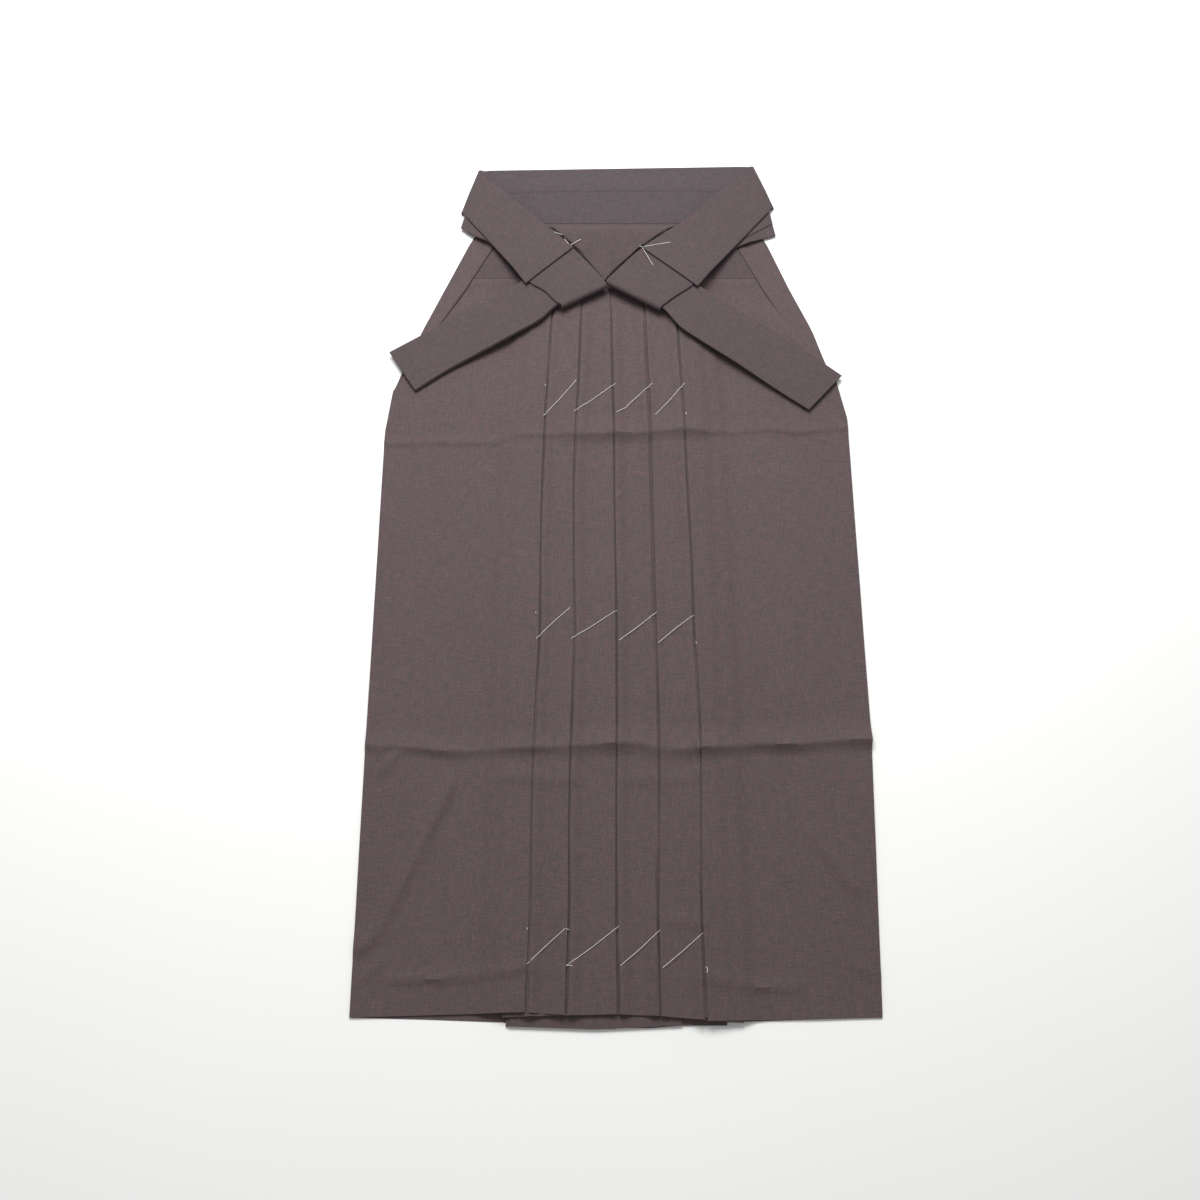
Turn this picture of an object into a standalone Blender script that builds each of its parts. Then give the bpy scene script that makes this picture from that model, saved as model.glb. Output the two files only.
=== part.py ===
"""Hakama trousers laid out flat, face up, with their ties folded across the front waist.

Metres, +Z up. The waist points to +Y and the hem to -Y. The garment rests on z = 0.
Inside the script every "up" value is measured along the garment from the front hem,
and the empty "hakama_frame" centres the finished garment on the origin.

Every piece of cloth is an open surface laid through rows of points and thickened with
Solidify. The front is one long zigzag in section: each pleat runs to its edge, turns
under, runs back to its inner fold and turns again.
"""
import math
from collections import namedtuple

import bpy
from mathutils import Vector

# ---- driving dimensions -------------------------------------------------------------

CLOTH = 0.001                # a wall of cloth
GAP = 0.0003                 # air between walls that lie on each other
LAYER = CLOTH + GAP          # height of one layer in a stack
EDGE_INSET = LAYER / 2 + CLOTH / 2   # from a turned edge in to where it lies flat

OVERALL_LENGTH = 1.049       # back waist to the lowest fold inside the hem
INNER_FOLD_DROP = 0.012      # how far the gussets hang below the front hem
HALF_HEM = 0.277             # left half of the hem, the garment is 553 wide there
BACK_BAND_TOP = 1.034        # "up" of the back waist at the centre
BACK_BAND_SLOPE = 0.018      # its right end lies higher
BACK_BAND_BOTTOM = 0.951
BACK_PANEL_TOP = 1.000       # the back panels end inside the back waistband
FRONT_BAND_TOP = 0.950
FRONT_BAND_BOTTOM = 0.874
FRONT_PANEL_TOP = 0.925      # the front panels end inside the front waistband
SIDE_SLIT = 0.721            # the side seams end here, the slits run up from it
FRONT_RISE_START = 0.852     # the front rises here to enter its waistband
FRONT_RISE_END = 0.870
BACK_RISE_START = 0.933      # and the back here
BACK_RISE_END = 0.948
BACK_SHOULDER = 0.960         # the back's side edges run straight up from here
CROTCH = 0.470               # the gussets widen from here to the hem
CENTRE_SEAM_TAPER = 0.050    # the front settles over this length above the crotch

UPPER_CREASE = (0.653, 0.672)    # "up" at the left and right side of the two creases
LOWER_CREASE = (0.287, 0.294)    # left by folding the garment in three
UPPER_CREASE_HEIGHT = 0.0022
LOWER_CREASE_HEIGHT = 0.0034
CREASE_REACH = 0.017

BACK_PLEAT_TOP = 0.090       # depth of the inverted pleat at the centre back
BACK_PLEAT_HEM = 0.115
# Feet of the back below the front hem: its outer layer, then the pleat inside it at the
# inner fold and at the centre, as left and right.
BACK_FOOT = -0.005
PLEAT_FOOT = {"left": -0.009, "right": -0.008}
CENTRE_FOOT = {"left": -0.0115, "right": -0.0105}
BACK_MIDDLE_SHARE = 0.6      # place of a spare column between the side and the pleat
BAND_EASE = 0.006            # the back waistband clears the pleat's edge by this
BAND_RAMP = 0.026            # and comes down over this length beside it
BAND_LAP = 0.002             # room over the top edge of the back panels
TIE_SEAM_INSET = 0.017       # the back tie is this much narrower where it is sewn on
GUSSET_WIDTH = 0.080         # of each gusset at the hem
GUSSET_LAP = 0.010           # seam allowance over the inner edge of the back

FOLD_STEPS = 4               # facets round a turned edge

CLOTH_COLOUR = (0.135, 0.098, 0.102, 1.0)
BAND_COLOUR = (0.128, 0.093, 0.097, 1.0)
CLOTH_ROUGHNESS = 0.9

# X of the four side edges at heights from the hem up to the waist.
Sides = namedtuple("Sides", "up front_left front_right back_left back_right")
SIDE_EDGES = (
    Sides(0.000, -0.277, 0.276, -0.277, 0.276),
    Sides(0.291, -0.275, 0.282, -0.275, 0.282),
    Sides(0.480, -0.273, 0.279, -0.273, 0.279),
    Sides(0.669, -0.271, 0.276, -0.271, 0.276),
    Sides(0.721, -0.264, 0.266, -0.264, 0.266),
    Sides(0.804, -0.213, 0.211, -0.232, 0.240),
    Sides(0.860, -0.179, 0.180, -0.207, 0.215),
    Sides(0.925, -0.143, 0.147, -0.178, 0.189),
    Sides(0.960, -0.140, 0.144, -0.158, 0.168),
    Sides(1.038, -0.140, 0.144, -0.158, 0.168),
)

# Fold lines of the front from left to right: X at the waist, knee and hem, and how far
# the foot stands above (+) or hangs below (-) the front hem. An "edge" shows, an
# "inner" fold lies hidden under it.
WAIST_LINE, KNEE_LINE, HEM_LINE = 0.925, 0.690, 0.0
FoldLine = namedtuple("FoldLine", "waist knee hem foot")
FOLD_LINES = {
    "inner_1": FoldLine(-0.096, -0.126, -0.134, 0.007),
    "inner_2": FoldLine(-0.083, -0.109, -0.119, 0.000),
    "edge_1": FoldLine(-0.070, -0.084, -0.094, 0.005),
    "inner_3": FoldLine(-0.052, -0.060, -0.062, 0.005),
    "edge_2": FoldLine(-0.037, -0.0465, -0.052, 0.002),
    "seam": FoldLine(-0.024, -0.023, -0.022, 0.003),
    "edge_3": FoldLine(-0.008, -0.002, 0.002, 0.003),
    "edge_4": FoldLine(0.032, 0.044, 0.049, 0.001),
    "edge_5": FoldLine(0.074, 0.083, 0.095, -0.004),
    "inner_4": FoldLine(0.086, 0.102, 0.109, -0.001),
    "inner_5": FoldLine(0.098, 0.122, 0.132, -0.006),
}
COLUMNS = (
    "left_side", "left_outer", "left_middle", "left_back_pleat",
    "inner_1", "inner_2", "edge_1", "inner_3", "edge_2", "seam", "edge_3",
    "edge_4", "edge_5", "inner_4", "inner_5",
    "right_back_pleat", "right_middle", "right_outer", "right_side",
)
# Flat columns between a side and the pleats: share of the way in from the side.
SIDE_SHARES = {"outer": 0.30, "middle": 0.66}
BACK_PLEAT_COLUMN = 0.013    # outward of the outermost inner fold

# Front layers from the lowest up: the two columns each one runs between. The lowest is
# cut in two by the centre front seam.
CENTRE_LAYER = ("inner_3", "inner_4")
LEFT_LAYERS = (
    ("left_side", "edge_1"),
    ("inner_1", "edge_1"),
    ("inner_1", "edge_2"),
    ("inner_2", "edge_2"),
    ("inner_2", "edge_3"),
    ("inner_3", "edge_3"),
)
RIGHT_LAYERS = (
    ("edge_4", "inner_4"),
    ("edge_4", "inner_5"),
    ("edge_5", "inner_5"),
    ("edge_5", "right_side"),
)
FRONT_LAYERS = (CENTRE_LAYER,) + tuple(reversed(LEFT_LAYERS)) + RIGHT_LAYERS

# Rows of the front panels from the hem up: "up" at the left and at the right side.
FRONT_ROWS = (
    (0.0, 0.0),
    (0.130, 0.130),
    (LOWER_CREASE[0] - CREASE_REACH, LOWER_CREASE[1] - CREASE_REACH),
    LOWER_CREASE,
    (LOWER_CREASE[0] + CREASE_REACH, LOWER_CREASE[1] + CREASE_REACH),
    (CROTCH, CROTCH),
    (CROTCH + CENTRE_SEAM_TAPER, CROTCH + CENTRE_SEAM_TAPER),
    (UPPER_CREASE[0] - CREASE_REACH, UPPER_CREASE[1] - CREASE_REACH),
    UPPER_CREASE,
    (UPPER_CREASE[0] + CREASE_REACH, UPPER_CREASE[1] + CREASE_REACH),
    (SIDE_SLIT, SIDE_SLIT),
    (0.804, 0.804),
    (FRONT_RISE_START, FRONT_RISE_START),
    (FRONT_RISE_END, FRONT_RISE_END),
    (FRONT_PANEL_TOP, FRONT_PANEL_TOP),
)
BACK_ROWS = (0.0, 0.291, CROTCH, 0.669, SIDE_SLIT, 0.804, 0.860, 0.925,
             BACK_RISE_START, BACK_RISE_END, BACK_SHOULDER, BACK_PANEL_TOP)

# The folded ties lie over a soft mound: the waist is thickest in the middle.
MOUND_TOP = 0.0133
MOUND_FALL = 0.087           # slope of its sides
MOUND_SHOULDER = 0.085       # from the centre to where it starts to fall
MOUND_FOOT = 0.205           # and to where it ends
MOUND_EASE = 0.020           # half the length of the bend at each

# Back ties from the waist corner to the roll under the front tie. Each row is the inner
# edge, then the outer edge, as X and up, then how high above the mound lie the undersides
# of the back tie and of its wrap, where they reach the row.
BandRow = namedtuple("BandRow", "x up outer_x outer_up tie wrap")
LEFT_BAND = (
    BandRow(-0.158, 1.015, -0.181, 0.956, 0.0024, None),
    BandRow(-0.125, 0.983, -0.160, 0.930, 0.0026, None),
    BandRow(-0.093, 0.950, -0.138, 0.901, 0.0046, None),
    BandRow(-0.072, 0.929, -0.123, 0.880, 0.0086, 0.0060),
    BandRow(-0.049, 0.906, -0.107, 0.856, 0.0100, 0.0072),
    BandRow(-0.032, 0.887, -0.087, 0.8425, None, 0.0074),
    BandRow(-0.0135, 0.8645, -0.073, 0.8275, None, 0.0074),
    BandRow(-0.0080, 0.8575, -0.069, 0.826, None, 0.0074),
)
RIGHT_BAND = (
    BandRow(0.165, 1.022, 0.191, 0.964, 0.0030, None),
    BandRow(0.125, 0.988, 0.164, 0.932, 0.0026, None),
    BandRow(0.087, 0.948, 0.138, 0.900, 0.0046, None),
    BandRow(0.061, 0.927, 0.120, 0.877, 0.0086, 0.0060),
    BandRow(0.033, 0.906, 0.101, 0.852, 0.0100, 0.0072),
    BandRow(0.013, 0.8865, 0.079, 0.8355, None, 0.0074),
    BandRow(-0.0095, 0.8640, 0.066, 0.8235, None, 0.0074),
    BandRow(-0.0020, 0.8585, 0.0615, 0.8225, None, 0.0074),
)
WRAP_UNDER = 0.0004          # height of the wrap's lower run above the mound
WRAP_SPAN = (0.0, 0.93)      # share of the back tie's width that the wrap keeps

# Front ties folded up under the back ties: the inner edge, the outer edge, the height of
# the underside above the mound and how far the top ply stands back from the others.
StackRow = namedtuple("StackRow", "x up outer_x outer_up lift set_back")
LEFT_STACK = (
    StackRow(-0.176, 0.996, -0.1895, 0.9445, -0.0018, 0.010),
    StackRow(-0.159, 0.988, -0.1745, 0.9335, -0.0018, 0.008),
    StackRow(-0.141, 0.970, -0.157, 0.9245, -0.0016, 0.004),
    StackRow(-0.113, 0.942, -0.137, 0.905, -0.0010, 0.000),
    StackRow(-0.093, 0.921, -0.122, 0.884, 0.0002, 0.000),
)
RIGHT_STACK = (
    StackRow(0.188, 0.996, 0.2005, 0.9345, -0.0013, 0.016),
    StackRow(0.168, 0.988, 0.183, 0.929, -0.0018, 0.011),
    StackRow(0.145, 0.970, 0.164, 0.922, -0.0016, 0.006),
    StackRow(0.114, 0.930, 0.136, 0.904, -0.0010, 0.000),
    StackRow(0.088, 0.911, 0.119, 0.882, 0.0002, 0.000),
)

# Tails of the front ties: the upper edge, the lower edge and the height of the
# underside above the mound.
TailRow = namedtuple("TailRow", "x up lower_x lower_up lift")
LEFT_TAIL = (
    TailRow(-0.058, 0.903, -0.031, 0.868, 0.0032),
    TailRow(-0.082, 0.885, -0.050, 0.840, 0.0032),
    TailRow(-0.106, 0.867, -0.069, 0.828, 0.0031),
    TailRow(-0.126, 0.855, -0.091, 0.807, 0.0034),
    TailRow(-0.149, 0.840, -0.1155, 0.793, 0.0026),
    TailRow(-0.189, 0.822, -0.157, 0.7695, 0.0016),
    TailRow(-0.229, 0.796, -0.200, 0.745, 0.0010),
    TailRow(-0.270, 0.771, -0.2365, 0.7195, 0.0006),
)
RIGHT_TAIL = (
    TailRow(0.040, 0.903, 0.010, 0.867, 0.0032),
    TailRow(0.066, 0.885, 0.038, 0.842, 0.0032),
    TailRow(0.092, 0.866, 0.061, 0.822, 0.0031),
    TailRow(0.113, 0.850, 0.080, 0.798, 0.0034),
    TailRow(0.138, 0.833, 0.099, 0.7845, 0.0026),
    TailRow(0.182, 0.806, 0.143, 0.7555, 0.0016),
    TailRow(0.227, 0.775, 0.187, 0.724, 0.0010),
    TailRow(0.272, 0.740, 0.230, 0.694, 0.0006),
)
# Where each back tie turns over at the waist corner.
Corner = namedtuple("Corner", "x up lower_x lower_up")
LEFT_CORNER = Corner(-0.1695, 1.0275, -0.1905, 0.966)
RIGHT_CORNER = Corner(0.176, 1.0335, 0.2005, 0.9735)
BACK_TIE_PLIES, TAIL_PLIES, WRAP_PLIES, STACK_PLIES = 2, 3, 2, 3
TIE_SHARES = (0.0, 0.33, 0.67, 1.0)      # places across a tie


# ---- collection, materials and objects ----------------------------------------------

for old in list(bpy.data.objects):
    bpy.data.objects.remove(old, do_unlink=True)

collection = bpy.data.collections.new("hakama_trousers")
bpy.context.scene.collection.children.link(collection)

frame = bpy.data.objects.new("hakama_frame", None)
frame.location = (0.0, INNER_FOLD_DROP - OVERALL_LENGTH / 2, 0.0)
collection.objects.link(frame)


def cloth_material(name, colour):
    """A matte cloth of one colour."""
    material = bpy.data.materials.new(name)
    material.use_nodes = True
    shader = material.node_tree.nodes["Principled BSDF"]
    shader.inputs["Base Color"].default_value = colour
    shader.inputs["Roughness"].default_value = CLOTH_ROUGHNESS
    shader.inputs["Metallic"].default_value = 0.0
    return material


def wall_through_rows(name, rows, colour):
    """One closed wall of cloth: a sheet through rows of points, thickened both ways.

    The diagonals of all sheets run the same way in plan, so that stacked sheets whose
    points lie over each other stay parallel between them.
    """
    width = len(rows[0])
    points = [point for row in rows for point in row]
    faces = []
    for i in range(len(rows) - 1):
        for j in range(width - 1):
            a, b = i * width + j, i * width + j + 1
            d, c = a + width, b + width
            diagonal = points[c] - points[a]
            if diagonal.x * diagonal.y >= 0.0:
                faces += [(a, b, c), (a, c, d)]
            else:
                faces += [(a, b, d), (b, c, d)]
    mesh = bpy.data.meshes.new(name)
    mesh.from_pydata(points, [], faces)
    mesh.materials.append(cloth_material(name, colour))
    mesh.shade_smooth()
    wall = bpy.data.objects.new(name, mesh)
    wall.parent = frame
    collection.objects.link(wall)
    solidify = wall.modifiers.new("thickness", "SOLIDIFY")
    solidify.thickness = CLOTH
    solidify.offset = 0.0
    solidify.use_even_offset = True
    return wall


# ---- outlines -----------------------------------------------------------------------

def between(start, end, share):
    """The value a share of the way from start to end."""
    return start + (end - start) * share


def side_edge(up, edge):
    """X of one of the four side edges at a height."""
    for low, high in zip(SIDE_EDGES, SIDE_EDGES[1:]):
        if up <= high.up:
            share = max(0.0, up - low.up) / (high.up - low.up)
            return between(getattr(low, edge), getattr(high, edge), share)
    return getattr(SIDE_EDGES[-1], edge)


def fold_line_x(name, up):
    """X of a front fold line at a height."""
    line = FOLD_LINES[name]
    if up < KNEE_LINE:
        return between(line.hem, line.knee, (up - HEM_LINE) / (KNEE_LINE - HEM_LINE))
    return between(line.knee, line.waist, (up - KNEE_LINE) / (WAIST_LINE - KNEE_LINE))


def column_x(name, up):
    """X of any column of the front at a height."""
    if name in FOLD_LINES:
        return fold_line_x(name, up)
    side, _, place = name.partition("_")
    edge = side_edge(up, "front_" + side)
    if place == "side":
        return edge
    if side == "left":
        pleat = fold_line_x("inner_1", up) - BACK_PLEAT_COLUMN
    else:
        pleat = fold_line_x("inner_5", up) + BACK_PLEAT_COLUMN
    if place == "back_pleat":
        return pleat
    return between(edge, pleat, SIDE_SHARES[place])


def crease_height(up, x):
    """How far a fold crease lifts the front at a point."""
    share = (x + HALF_HEM) / (2 * HALF_HEM)
    lift = 0.0
    for (left, right), height in ((UPPER_CREASE, UPPER_CREASE_HEIGHT),
                                  (LOWER_CREASE, LOWER_CREASE_HEIGHT)):
        distance = abs(up - between(left, right, share))
        lift = max(lift, height * max(0.0, 1.0 - distance / CREASE_REACH))
    return lift


def rise(up, start, end):
    """0 below start, 1 above end, straight between them."""
    return min(1.0, max(0.0, (up - start) / (end - start)))


def layers_under_front(index, up):
    """Layers of cloth between the floor and the front's lowest layer in a column."""
    first = COLUMNS.index("left_back_pleat")
    last = COLUMNS.index("right_back_pleat")
    over_pleat = first <= index <= last
    back = 3.0 if over_pleat else 1.0
    gusset = 1.0 - rise(up, CROTCH, CROTCH + CENTRE_SEAM_TAPER) if over_pleat else 0.0
    back_band = rise(up, BACK_RISE_START, BACK_RISE_END)
    front_band = rise(up, FRONT_RISE_START, FRONT_RISE_END)
    return back + gusset + back_band + front_band


def covers(layer, index):
    """Whether a front layer lies over a column."""
    return COLUMNS.index(layer[0]) <= index <= COLUMNS.index(layer[1])


def layer_height(order, index, up):
    """Z of the middle of a front layer over a column."""
    below = sum(covers(layer, index) for layer in FRONT_LAYERS[:order])
    lift = crease_height(up, column_x(COLUMNS[index], up))
    return (layers_under_front(index, up) + below) * LAYER + CLOTH / 2 + lift


def foot_offset(layer, index):
    """How far the foot of a front layer stands above the hem line in a column."""
    start, end = (column_x(name, HEM_LINE) for name in layer)
    low, high = (FOLD_LINES[name].foot if name in FOLD_LINES else 0.0 for name in layer)
    share = (column_x(COLUMNS[index], HEM_LINE) - start) / (end - start)
    return between(low, high, share)


# ---- front panels -------------------------------------------------------------------

def half_turn(radius):
    """Points round a half turn: how far out and how far up from its start."""
    angles = [math.pi * step / FOLD_STEPS for step in range(1, FOLD_STEPS)]
    return [(radius * math.sin(angle), radius * (1 - math.cos(angle))) for angle in angles]


def turned_edge(flat, outward, rising):
    """Points round a fold, from where one layer ends flat to where the next begins."""
    direction = 1.0 if rising else -1.0
    return [flat + Vector((outward * out, 0.0, direction * up))
            for out, up in half_turn(LAYER / 2)]


def row_up(row, name):
    """The height at which a slanting row of the front crosses a column."""
    share = (column_x(name, row[0]) + HALF_HEM) / (2 * HALF_HEM)
    return between(row[0], row[1], share)


def front_layer_points(layer, start, end, row, turns):
    """Points of one layer in one row; turns says whether it folds at its start and end."""
    order = FRONT_LAYERS.index(layer)
    first, last = COLUMNS.index(start), COLUMNS.index(end)
    step = 1 if last > first else -1
    points = []
    for index in range(first, last + step, step):
        name = COLUMNS[index]
        up = row_up(row, name)
        x = column_x(name, up)
        if index == first and turns[0]:
            x += step * EDGE_INSET
        if index == last and turns[1]:
            x -= step * EDGE_INSET
        if name == "seam":
            x += GAP / 2 if start == "seam" else -GAP / 2
        z = layer_height(order, index, up)
        foot = foot_offset(layer, index) if row == FRONT_ROWS[0] else 0.0
        points.append(Vector((x, up + foot, z)))
    return points


def front_section(path, row):
    """One row of a front panel, layer after layer, turning over at each fold."""
    points = []
    for place, (layer, start, end) in enumerate(path):
        last = place == len(path) - 1
        points += front_layer_points(layer, start, end, row, (place > 0, not last))
        if not last:
            outward = 1.0 if COLUMNS.index(end) > COLUMNS.index(start) else -1.0
            rising = FRONT_LAYERS.index(path[place + 1][0]) > FRONT_LAYERS.index(layer)
            points += turned_edge(points[-1], outward, rising)
    return points


def to_and_fro(layers, first_reversed):
    """A path through layers, every second one run backwards."""
    path = []
    for place, layer in enumerate(layers):
        backwards = (place % 2 == 1) != first_reversed
        path.append((layer, *(layer[::-1] if backwards else layer)))
    return path


def front_panels():
    """The left front with three pleats and the right front with the centre and two."""
    left = to_and_fro(LEFT_LAYERS, False) + [(CENTRE_LAYER, CENTRE_LAYER[0], "seam")]
    right = [(CENTRE_LAYER, "seam", CENTRE_LAYER[1])] + to_and_fro(RIGHT_LAYERS, True)
    for name, path in (("front_panel_left", left), ("front_panel_right", right)):
        wall_through_rows(name, [front_section(path, row) for row in FRONT_ROWS], CLOTH_COLOUR)


# ---- back panels and gussets --------------------------------------------------------

def gusset_width(up):
    """Width of a gusset at a height: nothing at the crotch, full at the hem."""
    return GUSSET_WIDTH * max(0.0, 1.0 - up / CROTCH)


def back_section(side, sign, up):
    """Outer layer to the centre, back to the inner fold, and in again to the seam."""
    edge = side_edge(up, "back_" + side)
    depth = sign * between(BACK_PLEAT_HEM, BACK_PLEAT_TOP, up / BACK_PANEL_TOP)
    lift = LAYER * rise(up, BACK_RISE_START, BACK_RISE_END)
    outer, middle, inner = (CLOTH / 2 + LAYER * layer + lift for layer in range(3))
    centre_flat = sign * (GAP / 2 + EDGE_INSET)
    inner_flat = depth - sign * EDGE_INSET
    seam = fold_line_x("seam", min(up, WAIST_LINE)) + sign * (GAP / 2 + gusset_width(up))
    spare = between(edge, depth, BACK_MIDDLE_SHARE)
    at_hem = 1.0 if up == 0.0 else 0.0
    foot, centre_foot = up + PLEAT_FOOT[side] * at_hem, up + CENTRE_FOOT[side] * at_hem
    points = [Vector((edge, up, outer))]
    points += [Vector((x, up + BACK_FOOT * at_hem, outer)) for x in (spare, depth)]
    points.append(Vector((centre_flat, centre_foot, outer)))
    points += turned_edge(points[-1], -sign, True)
    points += [Vector((centre_flat, centre_foot, middle)), Vector((inner_flat, foot, middle))]
    points += turned_edge(points[-1], sign, True)
    points += [Vector((inner_flat, foot, inner)), Vector((seam, up + BACK_FOOT * at_hem, inner))]
    return points


def back_panels():
    """Left and right back, meeting in an inverted pleat at the centre."""
    for side, sign in (("left", -1.0), ("right", 1.0)):
        rows = [back_section(side, sign, up) for up in BACK_ROWS]
        wall_through_rows("back_panel_" + side, rows, CLOTH_COLOUR)


def gussets():
    """A long triangle inside each leg, from the crotch to the hem."""
    height = 3 * LAYER + CLOTH / 2
    for side, sign in (("left", -1.0), ("right", 1.0)):
        rows = []
        for up, drop in ((0.0, 1.0), (CROTCH - GUSSET_LAP, 0.0)):
            seam = fold_line_x("seam", up) + sign * GAP / 2
            edge = seam + sign * (gusset_width(up) + GUSSET_LAP)
            rows.append([Vector((seam, up - INNER_FOLD_DROP * drop, height)),
                         Vector((edge, up + PLEAT_FOOT[side] * drop, height))])
        wall_through_rows("gusset_" + side, rows, CLOTH_COLOUR)


# ---- waistbands ---------------------------------------------------------------------

def front_top_height(index, up):
    """Z of the top of the front's uppermost layer over a column."""
    order = max(k for k, layer in enumerate(FRONT_LAYERS) if covers(layer, index))
    return layer_height(order, index, up) + CLOTH / 2


def band_row(x_and_up, under, over):
    """A waistband folded over an edge: up its under layer, round its top, down again."""
    points = [Vector((x, up, z)) for (x, up), z in zip(x_and_up, under)]
    points += [points[-1] + Vector((0.0, out, up)) for out, up in half_turn(LAYER / 2)]
    points += [Vector((x, up, z)) for (x, up), z in zip(x_and_up[::-1], over[::-1])]
    return points


def front_waistband():
    """A strip folded over the top edge of the front panels."""
    ups = (FRONT_BAND_BOTTOM, FRONT_PANEL_TOP, FRONT_BAND_TOP - EDGE_INSET)
    rows = []
    for index, name in enumerate(COLUMNS):
        places = [(column_x(name, min(up, FRONT_PANEL_TOP)), up) for up in ups]
        under = [(layers_under_front(index, up) - 1.0) * LAYER + CLOTH / 2 for up in ups]
        over = [front_top_height(index, up) + LAYER - CLOTH / 2 for up in ups[:2]]
        rows.append(band_row(places, under, over + [under[2] + LAYER]))
    wall_through_rows("front_waistband", rows, BAND_COLOUR)


def back_band_top(x):
    """Height of the back waistband's top edge, which slopes."""
    return BACK_BAND_TOP + BACK_BAND_SLOPE * x


def back_waistband():
    """A strip folded over the top edge of the back panels."""
    pleat = BACK_PLEAT_TOP + BAND_EASE
    foot = pleat + BAND_RAMP
    left, right = (side_edge(BACK_PANEL_TOP, edge) for edge in ("back_left", "back_right"))
    low = CLOTH / 2
    rows = []
    for x, plies in ((left, 1), (-foot, 1), (-pleat, 3), (0.0, 3), (pleat, 3), (foot, 1),
                     (right, 1)):
        high = low + LAYER * (plies + 1)
        places = [(x, BACK_BAND_BOTTOM), (x, BACK_PANEL_TOP + BAND_LAP),
                  (x, back_band_top(x) - EDGE_INSET)]
        rows.append(band_row(places, (low, low, low), (high, high, low + LAYER)))
    wall_through_rows("back_waistband", rows, BAND_COLOUR)


# ---- ties ---------------------------------------------------------------------------

def eased_fall(x, centre):
    """Distance past a bend, which is rounded over its ease."""
    past = x - centre
    if past <= -MOUND_EASE:
        return 0.0
    if past >= MOUND_EASE:
        return past
    return (past + MOUND_EASE) ** 2 / (4 * MOUND_EASE)


def mound(x):
    """Z of the mound under the folded ties."""
    fall = eased_fall(abs(x), MOUND_SHOULDER) - eased_fall(abs(x), MOUND_FOOT)
    return MOUND_TOP - MOUND_FALL * fall


def half_thickness(plies):
    """Half the thickness of a tie folded into plies."""
    return (plies * LAYER - GAP) / 2


def laid_row(row, lift, plies, span=(0.0, 1.0)):
    """Middle of a tie across one row, lying over the mound."""
    start, end = Vector((row[0], row[1], 0.0)), Vector((row[2], row[3], 0.0))
    points = []
    for share in TIE_SHARES:
        point = start.lerp(end, between(span[0], span[1], share))
        point.z = mound(point.x) + lift + half_thickness(plies)
        points.append(point)
    return points


def turned_rows(start, end, outward):
    """Rows round a turn between two rows that lie over each other."""
    rows = []
    for step in range(1, FOLD_STEPS):
        angle = math.pi * step / FOLD_STEPS
        row = []
        for first, last in zip(start, end):
            middle = (first + last) / 2
            out = outward * (abs(last.z - first.z) / 2 * math.sin(angle))
            row.append(middle + (first - middle) * math.cos(angle) + out)
        rows.append(row)
    return rows


def ply_row(row, normals, plies, set_back):
    """One row of a folded tie: across and back through its plies, turned at the edges.

    The third ply stands back from the outer edge of the first two.
    """
    outward = ((row[0] - row[1]).normalized(), (row[-1] - row[-2]).normalized())
    section = []
    for ply in range(plies):
        offset = (ply - (plies - 1) / 2) * LAYER
        flat = [point + normal * offset for point, normal in zip(row, normals)]
        flat[0] -= outward[0] * EDGE_INSET
        flat[-1] -= outward[1] * (EDGE_INSET + (set_back if ply == 2 else 0.0))
        section += flat if ply % 2 == 0 else flat[::-1]
        if ply < plies - 1:
            end = -1 if ply % 2 == 0 else 0
            section += [flat[end] + outward[end] * out + normals[end] * up
                        for out, up in half_turn(LAYER / 2)]
    return section


def tie(name, rows, plies, set_backs=None):
    """A tie through rows of middle points, folded lengthwise into plies."""
    set_backs = set_backs or [0.0] * len(rows)
    sections = []
    for place, row in enumerate(rows):
        before, after = rows[max(0, place - 1)], rows[min(len(rows) - 1, place + 1)]
        across = (row[-1] - row[0]).normalized()
        normals = [(b - a).cross(across).normalized() for a, b in zip(before, after)]
        sections.append(ply_row(row, normals, plies, set_backs[place]))
    wall_through_rows(name, sections, BAND_COLOUR)


def back_tie(side, sign, band, corner):
    """A back tie: on from the waistband, over at the corner and in across the waist."""
    rows = [laid_row(row, row.tie, BACK_TIE_PLIES) for row in band if row.tie is not None]
    half = half_thickness(BACK_TIE_PLIES)
    outward = Vector((sign, 0.0, 0.0))
    low_row, high_row = [], []
    for share, point in zip(TIE_SHARES, rows[0]):
        x = between(corner.x, corner.lower_x, share) - sign * ((point.z - half) / 2 + half)
        low_up = between(back_band_top(corner.x), corner.lower_up, share)
        low_row.append(Vector((x, low_up, half)))
        high_row.append(Vector((x, between(corner.up, corner.lower_up, share), point.z)))
    seam_x = side_edge(BACK_PANEL_TOP, "back_" + side) + sign * GAP
    seam_ups = (back_band_top(seam_x), BACK_BAND_BOTTOM + TIE_SEAM_INSET)
    seam_row = [Vector((seam_x, between(*seam_ups, share), half)) for share in TIE_SHARES]
    turn = turned_rows(low_row, high_row, outward)
    tie("back_tie_" + side, [seam_row, low_row] + turn + [high_row] + rows, BACK_TIE_PLIES)


def back_tie_wrap(side, sign, band):
    """Where a back tie passes over the front tie, rolls under it and runs back."""
    wrapped = [row for row in band if row.wrap is not None]
    over = [laid_row(row, row.wrap, WRAP_PLIES, WRAP_SPAN) for row in wrapped]
    under = [laid_row(row, WRAP_UNDER, WRAP_PLIES, WRAP_SPAN) for row in wrapped[:0:-1]]
    line = (over[-1][-1] - over[-1][0]).normalized()
    outward = Vector((-sign * abs(line.y), -abs(line.x), 0.0))
    turn = turned_rows(over[-1], under[0], outward)
    tie("back_tie_wrap_" + side, over + turn + under, WRAP_PLIES)


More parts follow.
